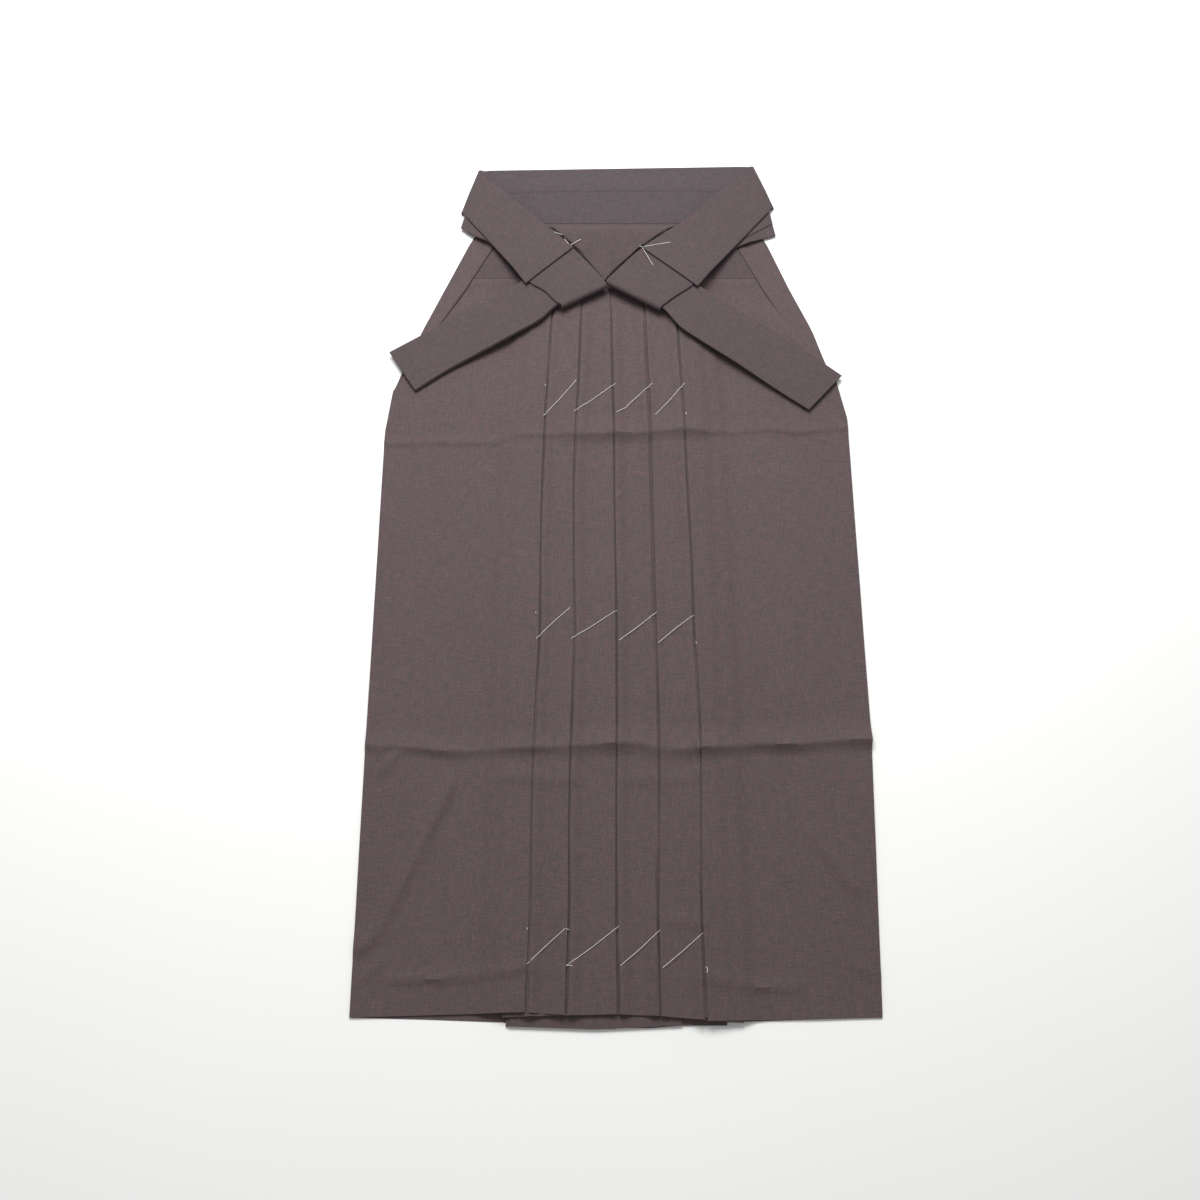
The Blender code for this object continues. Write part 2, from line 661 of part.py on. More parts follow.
def front_tie(side, stack, tail):
    """A front tie: folded up in a stack beneath the back tie, with its tail drawn out."""
    tie("front_tie_stack_" + side, [laid_row(row, row.lift, STACK_PLIES) for row in stack],
        STACK_PLIES, [row.set_back for row in stack])
    tie("front_tie_tail_" + side, [laid_row(row, row.lift, TAIL_PLIES) for row in tail],
        TAIL_PLIES)


def ties():
    """The four ties: both back ties over both front ties."""
    for side, sign, band, corner, stack, tail in (
            ("left", -1.0, LEFT_BAND, LEFT_CORNER, LEFT_STACK, LEFT_TAIL),
            ("right", 1.0, RIGHT_BAND, RIGHT_CORNER, RIGHT_STACK, RIGHT_TAIL)):
        back_tie(side, sign, band, corner)
        back_tie_wrap(side, sign, band)
        front_tie(side, stack, tail)


front_panels()
back_panels()
gussets()
front_waistband()
back_waistband()
ties()
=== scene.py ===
"""Hakama trousers laid out flat, face up, with their ties folded over the front waist.

Every piece of cloth is a thin sheet laid through rows of points and thickened. "Up" is
measured along the garment from the front hem; the world's Y is up less HEM_DEPTH. X runs
to the viewer's right and Z up out of the front.
"""

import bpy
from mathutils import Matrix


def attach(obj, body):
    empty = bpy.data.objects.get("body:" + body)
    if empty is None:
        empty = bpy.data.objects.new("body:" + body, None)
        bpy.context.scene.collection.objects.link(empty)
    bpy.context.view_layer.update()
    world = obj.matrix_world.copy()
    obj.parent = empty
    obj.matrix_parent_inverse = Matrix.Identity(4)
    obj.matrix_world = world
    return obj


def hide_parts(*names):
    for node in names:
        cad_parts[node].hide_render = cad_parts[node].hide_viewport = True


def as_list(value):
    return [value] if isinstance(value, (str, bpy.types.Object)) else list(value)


bl_info = {
    "name": "Hakama Trousers",
    "version": (1, 0, 0),
    "blender": (4, 5, 0),
    "location": "View3D > Sidebar > Hakama",
    "description": "Pleated hakama trousers laid out flat, with folded ties and basting",
    "category": "Add Mesh",
}

import math
from collections import namedtuple

import bpy
import numpy as np
from bpy.props import FloatProperty, FloatVectorProperty, PointerProperty
from mathutils import Vector

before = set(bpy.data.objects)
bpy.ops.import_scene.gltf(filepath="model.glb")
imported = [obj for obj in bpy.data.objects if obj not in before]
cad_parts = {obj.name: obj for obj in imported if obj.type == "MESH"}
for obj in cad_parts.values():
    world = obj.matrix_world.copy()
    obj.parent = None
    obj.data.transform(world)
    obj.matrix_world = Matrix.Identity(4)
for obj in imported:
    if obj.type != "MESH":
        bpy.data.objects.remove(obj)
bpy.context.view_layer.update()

# ---- sizes of the cut, in metres ----------------------------------------------------

HEM_DEPTH = 0.5125           # from the origin down to the front hem
HEM_LEFT = -0.277            # X of the front hem's left end
HEM_WIDTH = 0.553
WALL = 0.001                 # the frame's walls, whose middles the cloth follows
LAYER = 0.0013               # height of one layer in a stack
EDGE_INSET = LAYER / 2 + WALL / 2    # a turned layer's middle ends this far inside its fold
SEAM_GAP = 0.0003
GUSSET_DROP = 0.012
BACK_BAND_TOP = 1.034        # at the centre
BACK_BAND_SLOPE = 0.018      # its right end lies higher
BACK_BAND_BOTTOM = 0.951
BACK_PANEL_TOP = 1.000
FRONT_BAND_TOP = 0.950
FRONT_BAND_BOTTOM = 0.874
FRONT_PANEL_TOP = 0.925
BAND_PRESS = 0.0004          # its seam is pressed down,
FRONT_PUFF = 0.0009          # and the front puffs beneath it,
BACK_PUFF = 0.0007           # as the back does beneath its own
HELD_FLAT = (0.795, 0.860)   # from here up the waistband holds the front flat
BETWEEN_TIES = 0.0096        # how far the crossing ties push it up between them,
LEFT_CLEAR = (0.0, 0.0014)   # how far off the left tie that stays, low down and high up,
LEFT_CLEAR_UPS = (0.895, 0.903)      # the heights between which this changes,
RIGHT_CLEAR = (0.0015, 0.0027)       # and the same beside the right tie
RIGHT_CLEAR_UPS = (0.862, 0.885)
FRONT_BAND_TIP = 0.0120      # how far they draw its lower edge down where they meet,
TIP_X = -0.011
TIP_WIDTH = 0.016            # to either side
TIP_HEIGHT = 0.020
FRONT_RISE = (0.852, 0.870)  # the front rises here to enter its waistband
BACK_RISE = (0.933, 0.948)   # and the back here
CROTCH = 0.470
CENTRE_SEAM_TAPER = 0.050
BACK_PLEAT_TOP = 0.090
BACK_PLEAT_HEM = 0.115
BACK_FOOT = -0.005           # feet of the back: outer layer, inner fold, centre
PLEAT_FOOT = {"left": -0.009, "right": -0.008}
CENTRE_FOOT = {"left": -0.0115, "right": -0.0105}
GUSSET_WIDTH = 0.080
GUSSET_LAP = 0.010
UPPER_CREASE = (0.653, 0.672)
LOWER_CREASE = (0.287, 0.294)
FACING_EDGE = 0.997          # lower edge of the back waistband's facing
FACING = 0.0005              # how far it shows through
FOOT_REACH = 0.130           # the feet of the folds wander off over this length
FOOT_SHARES = (0.0, 0.3, 0.6, 1.0)   # across a layer, where its foot is given
HEM_SQUEEZE = 0.38           # the back's layers are pressed together at the hem

SIDE_UPS = (0.0, 0.291, 0.480, 0.669, 0.721, 0.804, 0.860, 0.925, 0.960, 1.038)
SIDES = {
    "front_left": (-.277, -.275, -.273, -.271, -.264, -.213, -.179, -.143, -.140, -.140),
    "front_right": (.276, .282, .279, .276, .266, .211, .180, .147, .144, .144),
    "back_left": (-.277, -.275, -.273, -.271, -.264, -.232, -.207, -.178, -.158, -.158),
    "back_right": (.276, .282, .279, .276, .266, .240, .215, .189, .168, .168),
}

# Fold lines of the front: X at the hem, knee and waist, and the foot above the hem.
FOLD_UPS = (0.0, 0.690, 0.925)
FoldLine = namedtuple("FoldLine", "hem knee waist foot")
FOLD_LINES = {
    "inner_1": FoldLine(-0.134, -0.126, -0.096, 0.007),
    "inner_2": FoldLine(-0.119, -0.109, -0.083, 0.000),
    "edge_1": FoldLine(-0.094, -0.084, -0.070, 0.005),
    "inner_3": FoldLine(-0.062, -0.060, -0.052, 0.005),
    "edge_2": FoldLine(-0.052, -0.0465, -0.037, 0.002),
    "seam": FoldLine(-0.022, -0.023, -0.024, 0.003),
    "edge_3": FoldLine(0.002, -0.002, -0.008, 0.003),
    "edge_4": FoldLine(0.049, 0.044, 0.032, 0.001),
    "edge_5": FoldLine(0.095, 0.083, 0.074, -0.004),
    "inner_4": FoldLine(0.109, 0.102, 0.086, -0.001),
    "inner_5": FoldLine(0.132, 0.122, 0.098, -0.006),
}
# The pressed pleat edges wander off those lines, by these distances to the right.
DRIFT_UPS = (0.017, 0.099, 0.183, 0.271, 0.316, 0.408, 0.504, 0.603, 0.707, 0.814, 0.870)
EDGE_DRIFT = {
    "edge_1": (-.0002, .0010, .0005, -.0008, .0000, .0026, .0012, .0010, .0016, .0003, .0),
    "edge_2": (-.0007, .0003, -.0003, -.0004, .0004, .0032, .0004, -.0010, .0013, .0012, .0),
    "edge_3": (-.0012, -.0021, -.0006, .0, .0004, .0010, .0007, .0008, -.0002, .0012, .0),
    "edge_4": (-.0025, -.0032, -.0006, .0012, .0017, .0010, .0, -.0002, -.0012, .0012, .0),
    "edge_5": (-.0009, -.0026, .0, .0032, .0043, .0020, .0016, .0006, -.0007, -.0008, .0),
}
CENTRE_LAYER = ("inner_3", "inner_4")
LEFT_LAYERS = (
    ("left_side", "edge_1"), ("inner_1", "edge_1"), ("inner_1", "edge_2"),
    ("inner_2", "edge_2"), ("inner_2", "edge_3"), ("inner_3", "edge_3"),
)
RIGHT_LAYERS = (
    ("edge_4", "inner_4"), ("edge_4", "inner_5"), ("edge_5", "inner_5"),
    ("edge_5", "right_side"),
)
FRONT_LAYERS = (CENTRE_LAYER,) + tuple(reversed(LEFT_LAYERS)) + RIGHT_LAYERS
LEFT_EDGES = ("edge_1", "edge_2", "edge_3")
MIDDLE_UP = 0.4              # at this height an edge lies over a layer if it is
OVERLAP = 0.01               # at least this far inside it

# How softly layers come down beside what lies under them.
FOLD_EASE = 0.014
BACK_EASE = 0.045
TURN_STEPS = 5               # facets round a turned edge
SHARP_ANGLE = math.radians(50.0)

# Rows and columns are set closer where the cloth bends most.
CREASE_ROWS = (-0.021, 0.026)        # from below a crease to above it
CLOSE_ROWS, FINEST_ROWS = 0.42, 0.04     # shares of the usual spacing
SEAM_ROW = 0.0007            # the finest are in the last strip under the waistband
EDGE_COLUMNS = (0.001, 0.008)        # from under a turned edge to beside it
CLOSE_COLUMNS = 0.0010
HIDDEN_COLUMNS = 2.6         # how much wider they are where nothing shows

# Beside an edge that lies over it the cloth stands up again, which leaves a groove.
GROOVE = 0.0012              # width of its floor
GROOVE_WALL = 0.0012
GROOVE_RISE = 0.0036         # height of the cloth beyond it,
GROOVE_TOP = 0.003           # how far it keeps that height,
GROOVE_FALL = 0.013          # and how far it takes to come down
LIP = 0.0012                 # how far the edge itself stands off,
LIP_WIDTH = 0.011            # over this width
SIDE_LIP = 1.6 * LIP         # and the open side edges, over theirs
SIDE_LIP_WIDTH = 0.012
HEM_OPEN = 0.170             # the pleats open towards the hem from here
SIDE_SLIT = (0.728, 0.765)   # the side edges part above here
SIDE_GROOVE = 0.0013         # the groove beside the front's open edges,
SIDE_GROOVE_RISE = {"left": 0.0034, "right": 0.0028}
SIDE_GROOVE_END = (0.915, 0.945)     # and where it ends

# Creases pressed into the front where the garment was folded away, and slack in it.
# Points run along the crease as X and up; rise is its height, near and far how wide it
# is on the hem's side and on the waist's side, swell how unevenly it stands.
Crease = namedtuple("Crease", "points rise near far swell")


def crease_list(sizes):
    """The creases of the front, with their heights from the sizes."""
    high, low, slack = sizes.upper_crease, sizes.lower_crease, sizes.slack
    return (
        Crease(((-.272, .6526), (-.200, .6535), (-.139, .6539), (-.115, .6604),
                (-.047, .6604)), 0.65 * high, .007, .016, .30),
        Crease(((-.051, .6604), (.010, .6630), (.060, .6660), (.087, .6669), (.100, .6643)),
               2.0 * high, .014, .028, .15),
        Crease(((.087, .6669), (.100, .6643), (.140, .6670), (.1875, .672), (.212, .6669),
                (.258, .672), (.277, .672)), 0.75 * high, .007, .018, .35),
        Crease(((-.275, .289), (-.262, .2880), (-.2345, .2871), (-.184, .2815),
                (-.093, .2837), (-.045, .286)), 1.10 * low, .011, .022, .30),
        Crease(((-.060, .285), (.0, .289), (.025, .2905), (.051, .2826), (.097, .2826)),
               1.45 * low, .015, .026, .30),
        Crease(((.090, .2826), (.157, .2895), (.197, .289), (.2436, .2938), (.283, .2938)),
               1.70 * low, .013, .026, .25),
        Crease(((-.272, .284), (-.259, .296), (-.247, .288)), 0.35 * low, .006, .010, .20),
    ) + tuple(Crease(points, rise * slack, near, far, .2) for points, rise, near, far in (
        (((-.2345, .287), (-.256, .259)), .0026, .010, .012),
        (((-.178, .245), (-.207, .182), (-.235, .120), (-.251, .086), (-.267, .070)),
         .0046, .011, .022),
        (((-.2446, .056), (-.2656, .0387)), .0022, .009, .010),
        (((.2065, .1947), (.2528, .1328)), .0030, .010, .018),
        (((.2488, .056), (.2742, .0428)), .0020, .008, .009),
        (((.2007, .3761), (.1884, .3449)), .0008, .006, .010),
        (((-.122, .250), (-.048, .247)), .0022, .009, .018),
        (((.012, .248), (.088, .250)), .0018, .009, .018),
        (((.052, .098), (.092, .096)), .0018, .009, .014),
        (((-.262, .560), (-.246, .470), (-.250, .400)), .0010, .018, .022),
        (((.205, .620), (.212, .520), (.204, .420)), .0009, .020, .026),
        (((-.235, .0350), (-.215, .0355), (-.1285, .0395), (-.093, .0456)),
         .0036, .0042, .014),
        (((.0966, .0395), (.1443, .0314), (.185, .0284)), .0036, .0042, .014),
        (((-.085, .0400), (-.060, .0405)), .0010, .004, .010),
        (((.052, .0400), (.086, .0370)), .0012, .004, .010),
        (((-.120, .640), (-.128, .520), (-.130, .420)), .0008, .010, .014),
        (((.132, .640), (.150, .520), (.158, .400)), .0009, .016, .022),
    ))


# ---- sizes of the ties --------------------------------------------------------------

MOUND_TOP = 0.0133
MOUND_FALL = 0.087
MOUND_SHOULDER = 0.085
MOUND_FOOT = 0.205
MOUND_EASE = 0.020

BandRow = namedtuple("BandRow", "x up outer_x outer_up tie wrap")
LEFT_BAND = (
    BandRow(-0.158, 1.015, -0.181, 0.956, 0.0024, None),
    BandRow(-0.125, 0.983, -0.160, 0.930, 0.0026, None),
    BandRow(-0.093, 0.950, -0.138, 0.901, 0.0046, None),
    BandRow(-0.072, 0.929, -0.123, 0.880, 0.0086, 0.0060),
    BandRow(-0.049, 0.906, -0.107, 0.856, 0.0100, 0.0072),
    BandRow(-0.032, 0.887, -0.087, 0.8425, None, 0.0074),
    BandRow(-0.0135, 0.8645, -0.073, 0.8275, None, 0.0074),
    BandRow(-0.0092, 0.8580, -0.069, 0.826, None, 0.0074),
)
RIGHT_BAND = (
    BandRow(0.165, 1.022, 0.191, 0.964, 0.0030, None),
    BandRow(0.125, 0.988, 0.164, 0.932, 0.0026, None),
    BandRow(0.087, 0.948, 0.138, 0.900, 0.0046, None),
    BandRow(0.061, 0.927, 0.120, 0.877, 0.0086, 0.0060),
    BandRow(0.033, 0.906, 0.101, 0.852, 0.0100, 0.0072),
    BandRow(0.013, 0.8865, 0.079, 0.8355, None, 0.0074),
    BandRow(-0.0090, 0.8628, 0.0625, 0.8225, None, 0.0074),
)
WRAP_UNDER = 0.0004          # height of the wrap's lower run above the mound
WRAP_SPAN = (0.0, 0.93)      # share of the back tie's width that the wrap keeps

# Front ties folded up beneath them; the top ply stands back from the others.
StackRow = namedtuple("StackRow", "x up outer_x outer_up lift set_back")
LEFT_STACK = (
    StackRow(-0.176, 0.996, -0.1895, 0.9445, -0.0018, 0.010),
    StackRow(-0.159, 0.988, -0.1745, 0.9335, -0.0018, 0.008),
    StackRow(-0.141, 0.970, -0.157, 0.9245, -0.0016, 0.004),
    StackRow(-0.113, 0.942, -0.137, 0.905, -0.0010, 0.000),
    StackRow(-0.093, 0.921, -0.122, 0.884, 0.0002, 0.000),
)
RIGHT_STACK = (
    StackRow(0.188, 0.996, 0.2005, 0.9345, -0.0013, 0.016),
    StackRow(0.168, 0.988, 0.183, 0.929, -0.0018, 0.011),
    StackRow(0.145, 0.970, 0.164, 0.922, -0.0016, 0.006),
    StackRow(0.114, 0.930, 0.136, 0.904, -0.0010, 0.000),
    StackRow(0.088, 0.911, 0.119, 0.882, 0.0002, 0.000),
)

# Tails of the front ties.
TailRow = namedtuple("TailRow", "x up lower_x lower_up lift")
LEFT_TAIL = (
    TailRow(-0.058, 0.903, -0.031, 0.868, 0.0032),
    TailRow(-0.082, 0.885, -0.050, 0.840, 0.0032),
    TailRow(-0.106, 0.867, -0.069, 0.828, 0.0031),
    TailRow(-0.126, 0.855, -0.091, 0.807, 0.0034),
    TailRow(-0.149, 0.840, -0.1155, 0.793, 0.0031),
    TailRow(-0.189, 0.822, -0.157, 0.7695, 0.0028),
    TailRow(-0.229, 0.796, -0.200, 0.745, 0.0026),
    TailRow(-0.270, 0.771, -0.2365, 0.7195, 0.0022),
)
RIGHT_TAIL = (
    TailRow(0.040, 0.903, 0.010, 0.867, 0.0032),
    TailRow(0.066, 0.885, 0.038, 0.842, 0.0032),
    TailRow(0.092, 0.866, 0.061, 0.822, 0.0031),
    TailRow(0.113, 0.850, 0.080, 0.798, 0.0034),
    TailRow(0.138, 0.833, 0.099, 0.7845, 0.0026),
    TailRow(0.182, 0.806, 0.143, 0.7555, 0.0026),
    TailRow(0.227, 0.775, 0.187, 0.724, 0.0028),
    TailRow(0.272, 0.740, 0.230, 0.694, 0.0028),
)
# Where each back tie turns over at the waist corner.
Corner = namedtuple("Corner", "x up lower_x lower_up")
LEFT_CORNER = Corner(-0.1695, 1.0255, -0.1905, 0.966)
RIGHT_CORNER = Corner(0.176, 1.0312, 0.2005, 0.9735)
BACK_TIE_PLIES, TAIL_PLIES, WRAP_PLIES, STACK_PLIES = 2, 3, 2, 3
ACROSS = 12                  # spaces across one ply of a tie
ROW_SPACING = 0.005          # along a tie
TIE_SEAM_INSET = 0.017
TURN_HEIGHT = 0.0050         # of a back tie's turned corner, pressed at its lower end


# The cut of each piece of cloth that shows: width and length laid flat, and its area.
Cut = namedtuple("Cut", "flat area held rests_on")
CUTS = {
    "front_cloth_left": Cut((0.615, 0.937), 0.5290, "folded", ["back_cloth_left"]),
    "front_cloth_right": Cut((0.520, 0.937), 0.4525, "folded", ["back_cloth_right"]),
    "back_cloth_left": Cut((0.456, 1.018), 0.4218, "folded", ["floor"]),
    "back_cloth_right": Cut((0.508, 1.018), 0.4730, "folded", ["floor"]),
    "gusset_cloth_left": Cut((0.090, 0.475), 0.0246, "laid", ["back_cloth_left"]),
    "gusset_cloth_right": Cut((0.090, 0.475), 0.0246, "laid", ["back_cloth_right"]),
    "front_band": Cut((0.316, 0.163), 0.0497, "folded",
                      ["front_cloth_left", "front_cloth_right"]),
    "back_band": Cut((0.326, 0.168), 0.0546, "folded", ["floor"]),
    "stack_cloth_left": Cut((0.150, 0.106), 0.0139, "folded", ["front_band"]),
    "stack_cloth_right": Cut((0.150, 0.120), 0.0155, "folded", ["front_band"]),
    "tail_cloth_left": Cut((0.175, 0.255), 0.0432, "folded", ["front_cloth_left"]),
    "tail_cloth_right": Cut((0.182, 0.283), 0.0502, "folded", ["front_cloth_right"]),
    "back_tie_cloth_left": Cut((0.135, 0.185), 0.0231, "folded", ["stack_cloth_left"]),
    "back_tie_cloth_right": Cut((0.142, 0.202), 0.0272, "folded", ["stack_cloth_right"]),
    "wrap_cloth_left": Cut((0.132, 0.155), 0.0202, "folded", ["tail_cloth_left"]),
    "wrap_cloth_right": Cut((0.154, 0.155), 0.0233, "folded", ["tail_cloth_right"]),
}


# ---- the stage ----------------------------------------------------------------------

FLOOR_SIDE = 6.0
WORLD_STRENGTH = 0.40
KEY_PLACE = (-0.15, 1.1, 1.8)        # beyond the waist, so shadows fall to the hem
KEY_AIM = (0.0, -0.2, -1.0)
KEY_SIZE = 1.1
KEY_POWER = 49.0
CAMERA_PLACE = (-0.017, -0.6095, 1.614)
CAMERA_TILT = 19.0                   # degrees from straight down, towards the waist
LENS = 45.0


# ---- settings -----------------------------------------------------------------------

class HakamaSizes(bpy.types.PropertyGroup):
    """Sizes of the cloth, its creases and its threads."""
    cloth: FloatProperty(name="Cloth", description="Thickness of the panels' cloth",
                         default=0.0007, min=0.0002, max=0.001, unit="LENGTH")
    tie_cloth: FloatProperty(name="Tie cloth", description="Thickness of each ply of a tie",
                             default=0.0008, min=0.0002, max=0.001, unit="LENGTH")
    upper_crease: FloatProperty(name="Upper crease", description="Height of the upper "
                                "storage crease", default=0.0030, unit="LENGTH")
    lower_crease: FloatProperty(name="Lower crease", description="Height of the lower "
                                "storage crease", default=0.0040, unit="LENGTH")
    slack: FloatProperty(name="Slack", description="Share of the small slack creases",
                         default=1.0, min=0.0, max=2.0, subtype="FACTOR")
    column_spacing: FloatProperty(name="Column spacing", description="Mesh spacing across "
                                  "the cloth that shows", default=0.0034, unit="LENGTH")
    row_spacing: FloatProperty(name="Row spacing", description="Mesh spacing along the "
                               "cloth", default=0.0052, unit="LENGTH")
    thread: FloatProperty(name="Thread", description="Thickness of the basting thread",
                          default=0.0006, unit="LENGTH")
    weave: FloatProperty(name="Weave", description="Distance between two woven threads",
                         default=0.0006, unit="LENGTH")


class HakamaColours(bpy.types.PropertyGroup):
    """Colours of the shot cloth, the threads and the floor."""
    warp: FloatVectorProperty(name="Warp", description="Threads along the cloth, plum",
                              subtype="COLOR", size=4, default=(0.122, 0.074, 0.080, 1.0))
    weft: FloatVectorProperty(name="Weft", description="Threads across it, grey",
                              subtype="COLOR", size=4, default=(0.080, 0.070, 0.068, 1.0))
    basting: FloatVectorProperty(name="Basting", description="White basting thread",
                                 subtype="COLOR", size=4, default=(0.80, 0.78, 0.74, 1.0))
    stitching: FloatVectorProperty(name="Stitching", description="Sewing thread",
                                   subtype="COLOR", size=4, default=(0.075, 0.055, 0.058, 1.0))
    floor: FloatVectorProperty(name="Floor", description="Pale studio floor",
                               subtype="COLOR", size=4, default=(0.97, 0.97, 0.96, 1.0))


# ---- small sums ---------------------------------------------------------------------

def between(start, end, share):
    """The value a share of the way from start to end."""
    return start + (end - start) * share


def eased(share):
    """0 to 1 with soft ends."""
    share = np.clip(share, 0.0, 1.0)
    return share * share * (3.0 - 2.0 * share)


def steps(length, spacing, least=1):
    """How many spaces of about that size fill a length."""
    return max(least, int(round(length / spacing)))


def side_x(up, edge):
    """X of one of the four side edges."""
    return np.interp(up, SIDE_UPS, SIDES[edge])


def fold_x(name, up):
    """X of a fold line of the front, straight with a slight wander."""
    line = FOLD_LINES[name]
    wander = 0.0004 * np.sin(up * 23.0 + line.hem * 90.0) * np.sin(up * 9.0 + line.hem * 40.0)
    if name in EDGE_DRIFT:
        wander = wander + np.interp(up, DRIFT_UPS, EDGE_DRIFT[name])
    return np.interp(up, FOLD_UPS, (line.hem, line.knee, line.waist)) + wander


def front_x(name, up):
    """X of a side or fold line of the front."""
    if name in FOLD_LINES:
        return fold_x(name, up)
    return side_x(up, "front_" + name.partition("_")[0])


def outside_of(layer, x, up):
    """How far points lie outside a layer of the front; below 0 they are inside it."""
    return np.maximum(front_x(layer[0], up) - x, x - front_x(layer[1], up))


def ramp(up, span):
    """0 below a span, 1 above it."""
    return eased((up - span[0]) / (span[1] - span[0]))


def near_hem(up):
    """1 at the hem, 0 where the feet of the folds stop wandering."""
    return np.clip(1.0 - up / FOOT_REACH, 0.0, 1.0)


def squeezed(ups):
    """Share of its height that the back keeps as its layers close up at the hem."""
    return 1.0 - HEM_SQUEEZE * (1.0 - eased((ups + 0.012) / 0.022))


# ---- how high everything lies -------------------------------------------------------

def back_band_top(x):
    """Height of the back waistband's top, which slopes."""
    return BACK_BAND_TOP + BACK_BAND_SLOPE * x


def back_pleat_depth(up):
    """Half width of the inverted pleat at the centre back."""
    return between(BACK_PLEAT_HEM, BACK_PLEAT_TOP, up / BACK_PANEL_TOP)


def layers_under_front(x, up):
    """Layers of cloth between the floor and the front's lowest layer."""
    pleat = 1.0 - eased((np.abs(x) - back_pleat_depth(up)) / BACK_EASE)
    gusset = (1.0 - ramp(up, (CROTCH, CROTCH + CENTRE_SEAM_TAPER))) * pleat
    return 1.0 + 2.0 * pleat + gusset + ramp(up, BACK_RISE) + ramp(up, FRONT_RISE)


def cover(layer, x, up):
    """1 over a layer of the front, easing to 0 beside it."""
    return 1.0 - eased(outside_of(layer, x, up) / FOLD_EASE)


def groove(outside, floor):
    """0 in the groove beside an edge, 1 where the cloth stands up past it, then 0."""
    return (eased((outside - floor) / GROOVE_WALL)
            * (1.0 - eased((outside - floor - GROOVE_TOP) / GROOVE_FALL)))


def opened(up):
    """How open the pleats are: more at the hem and in places along them."""
    return 1.0 + 0.6 * (1.0 - eased(up / HEM_OPEN)) + 0.25 * np.sin(up * 19.0 + 0.7)


def beside(order, x, up):
    """How far a layer stands up beside the edges that lie over it."""
    stand = np.zeros_like(x)
    for layer in FRONT_LAYERS[order + 1:]:
        stand = np.maximum(stand, groove(outside_of(layer, x, up), GROOVE * opened(up)))
    return GROOVE_RISE * stand * (1.0 + 0.3 * (1.0 - eased(up / HEM_OPEN)))


def lipped(layer, x, up):
    """How far a layer stands off at its own turned edges, and at the open side edges."""
    stand = np.zeros_like(x)
    for name in layer:
        inside = np.abs(x - front_x(name, up))
        if name.startswith("edge"):
            stand += LIP * opened(up) * (1.0 - eased(inside / LIP_WIDTH))
        elif name.endswith("side"):
            stand += SIDE_LIP * ramp(up, SIDE_SLIT) * (1.0 - eased(inside / SIDE_LIP_WIDTH))
    return stand


def creased(creases, x, up):
    """How far the creases lift the cloth at points."""
    lift = np.zeros_like(x)
    for crease in creases:
        points = crease.points
        best = np.full_like(x, 1e9)
        height = np.zeros_like(x)
        for (ax, au), (bx, bu) in zip(points, points[1:]):
            dx, du = bx - ax, bu - au
            length = math.hypot(dx, du)
            along = ((x - ax) * dx + (up - au) * du) / length
            side = ((up - au) * dx - (x - ax) * du) / length * (1.0 if dx > 0 else -1.0)
            past = np.maximum(np.maximum(-along, along - length), 0.0)
            away = np.hypot(side, past)
            width = np.where(side < 0.0, crease.near, crease.far)
            tent = np.clip(1.0 - away / width, 0.0, 1.0) ** 1.6
            height = np.where(away < best, tent, height)
            best = np.minimum(away, best)
        uneven = 1.0 + crease.swell * np.sin(x * 61.0 + up * 47.0 + points[0][0] * 90.0)
        lift = np.maximum(lift, crease.rise * uneven * height)
    return lift


def billow(x, up):
    """Shallow unevenness of cloth that lies loose."""
    return (0.00035 * np.sin(x * 31.0 + 1.3) * np.sin(up * 17.0 + 0.4)
            + 0.00020 * np.sin(x * 67.0 + up * 43.0) + 0.00055)


def front_lift(creases, x, up):
    """Everything that lifts the front off the layers under it."""
    return ((creased(creases, x, up) + billow(x, up)) * free(up)
            + FRONT_PUFF * swollen(up, FRONT_BAND_BOTTOM))


def swollen(up, seam):
    """1 just below a seam that holds the cloth down, 0 above it and further down."""
    return ramp(up, (seam - 0.014, seam - 0.004)) * (1.0 - ramp(up, (seam - 0.0006,
                                                                    seam - 0.0001)))


def free(up):
    """1 where the front lies free, 0 where its waistband holds it flat."""
    return 1.0 - ramp(up, HELD_FLAT)


def layer_z(creases, order, x, up):
    """Z of the middle of a layer of the front."""
    below = sum(cover(layer, x, up) for layer in FRONT_LAYERS[:order])
    edges = (beside(order, x, up) + lipped(FRONT_LAYERS[order], x, up)) * free(up)
    return ((layers_under_front(x, up) + below) * LAYER + WALL / 2
            + front_lift(creases, x, up) + edges)


def front_top_z(creases, x, up):
    """Z of the top of the front at points, over whichever layer shows."""
    x, up = np.asarray(x, float), np.asarray(up, float)
    top = np.zeros_like(x)
    for order, layer in enumerate(FRONT_LAYERS):
        higher = np.maximum(top, layer_z(creases, order, x, up))
        top = np.where(outside_of(layer, x, up) <= 0.0, higher, top)
    return top + WALL / 2


# ---- meshes -------------------------------------------------------------------------

def add_object(name, data):
    """A new object in the scene."""
    piece = bpy.data.objects.new(name, data)
    bpy.context.scene.collection.objects.link(piece)
    return piece


def finished_mesh(piece):
    """A new mesh of an object with its thickness applied."""
    bpy.context.view_layer.update()
    return bpy.data.meshes.new_from_object(
        piece.evaluated_get(bpy.context.evaluated_depsgraph_get()))


def distances(points, axis):
    """How far along the cloth each point of a grid lies."""
    gaps = np.linalg.norm(np.diff(points, axis=axis), axis=2)
    return np.insert(np.cumsum(gaps, axis), 0, 0.0, axis)


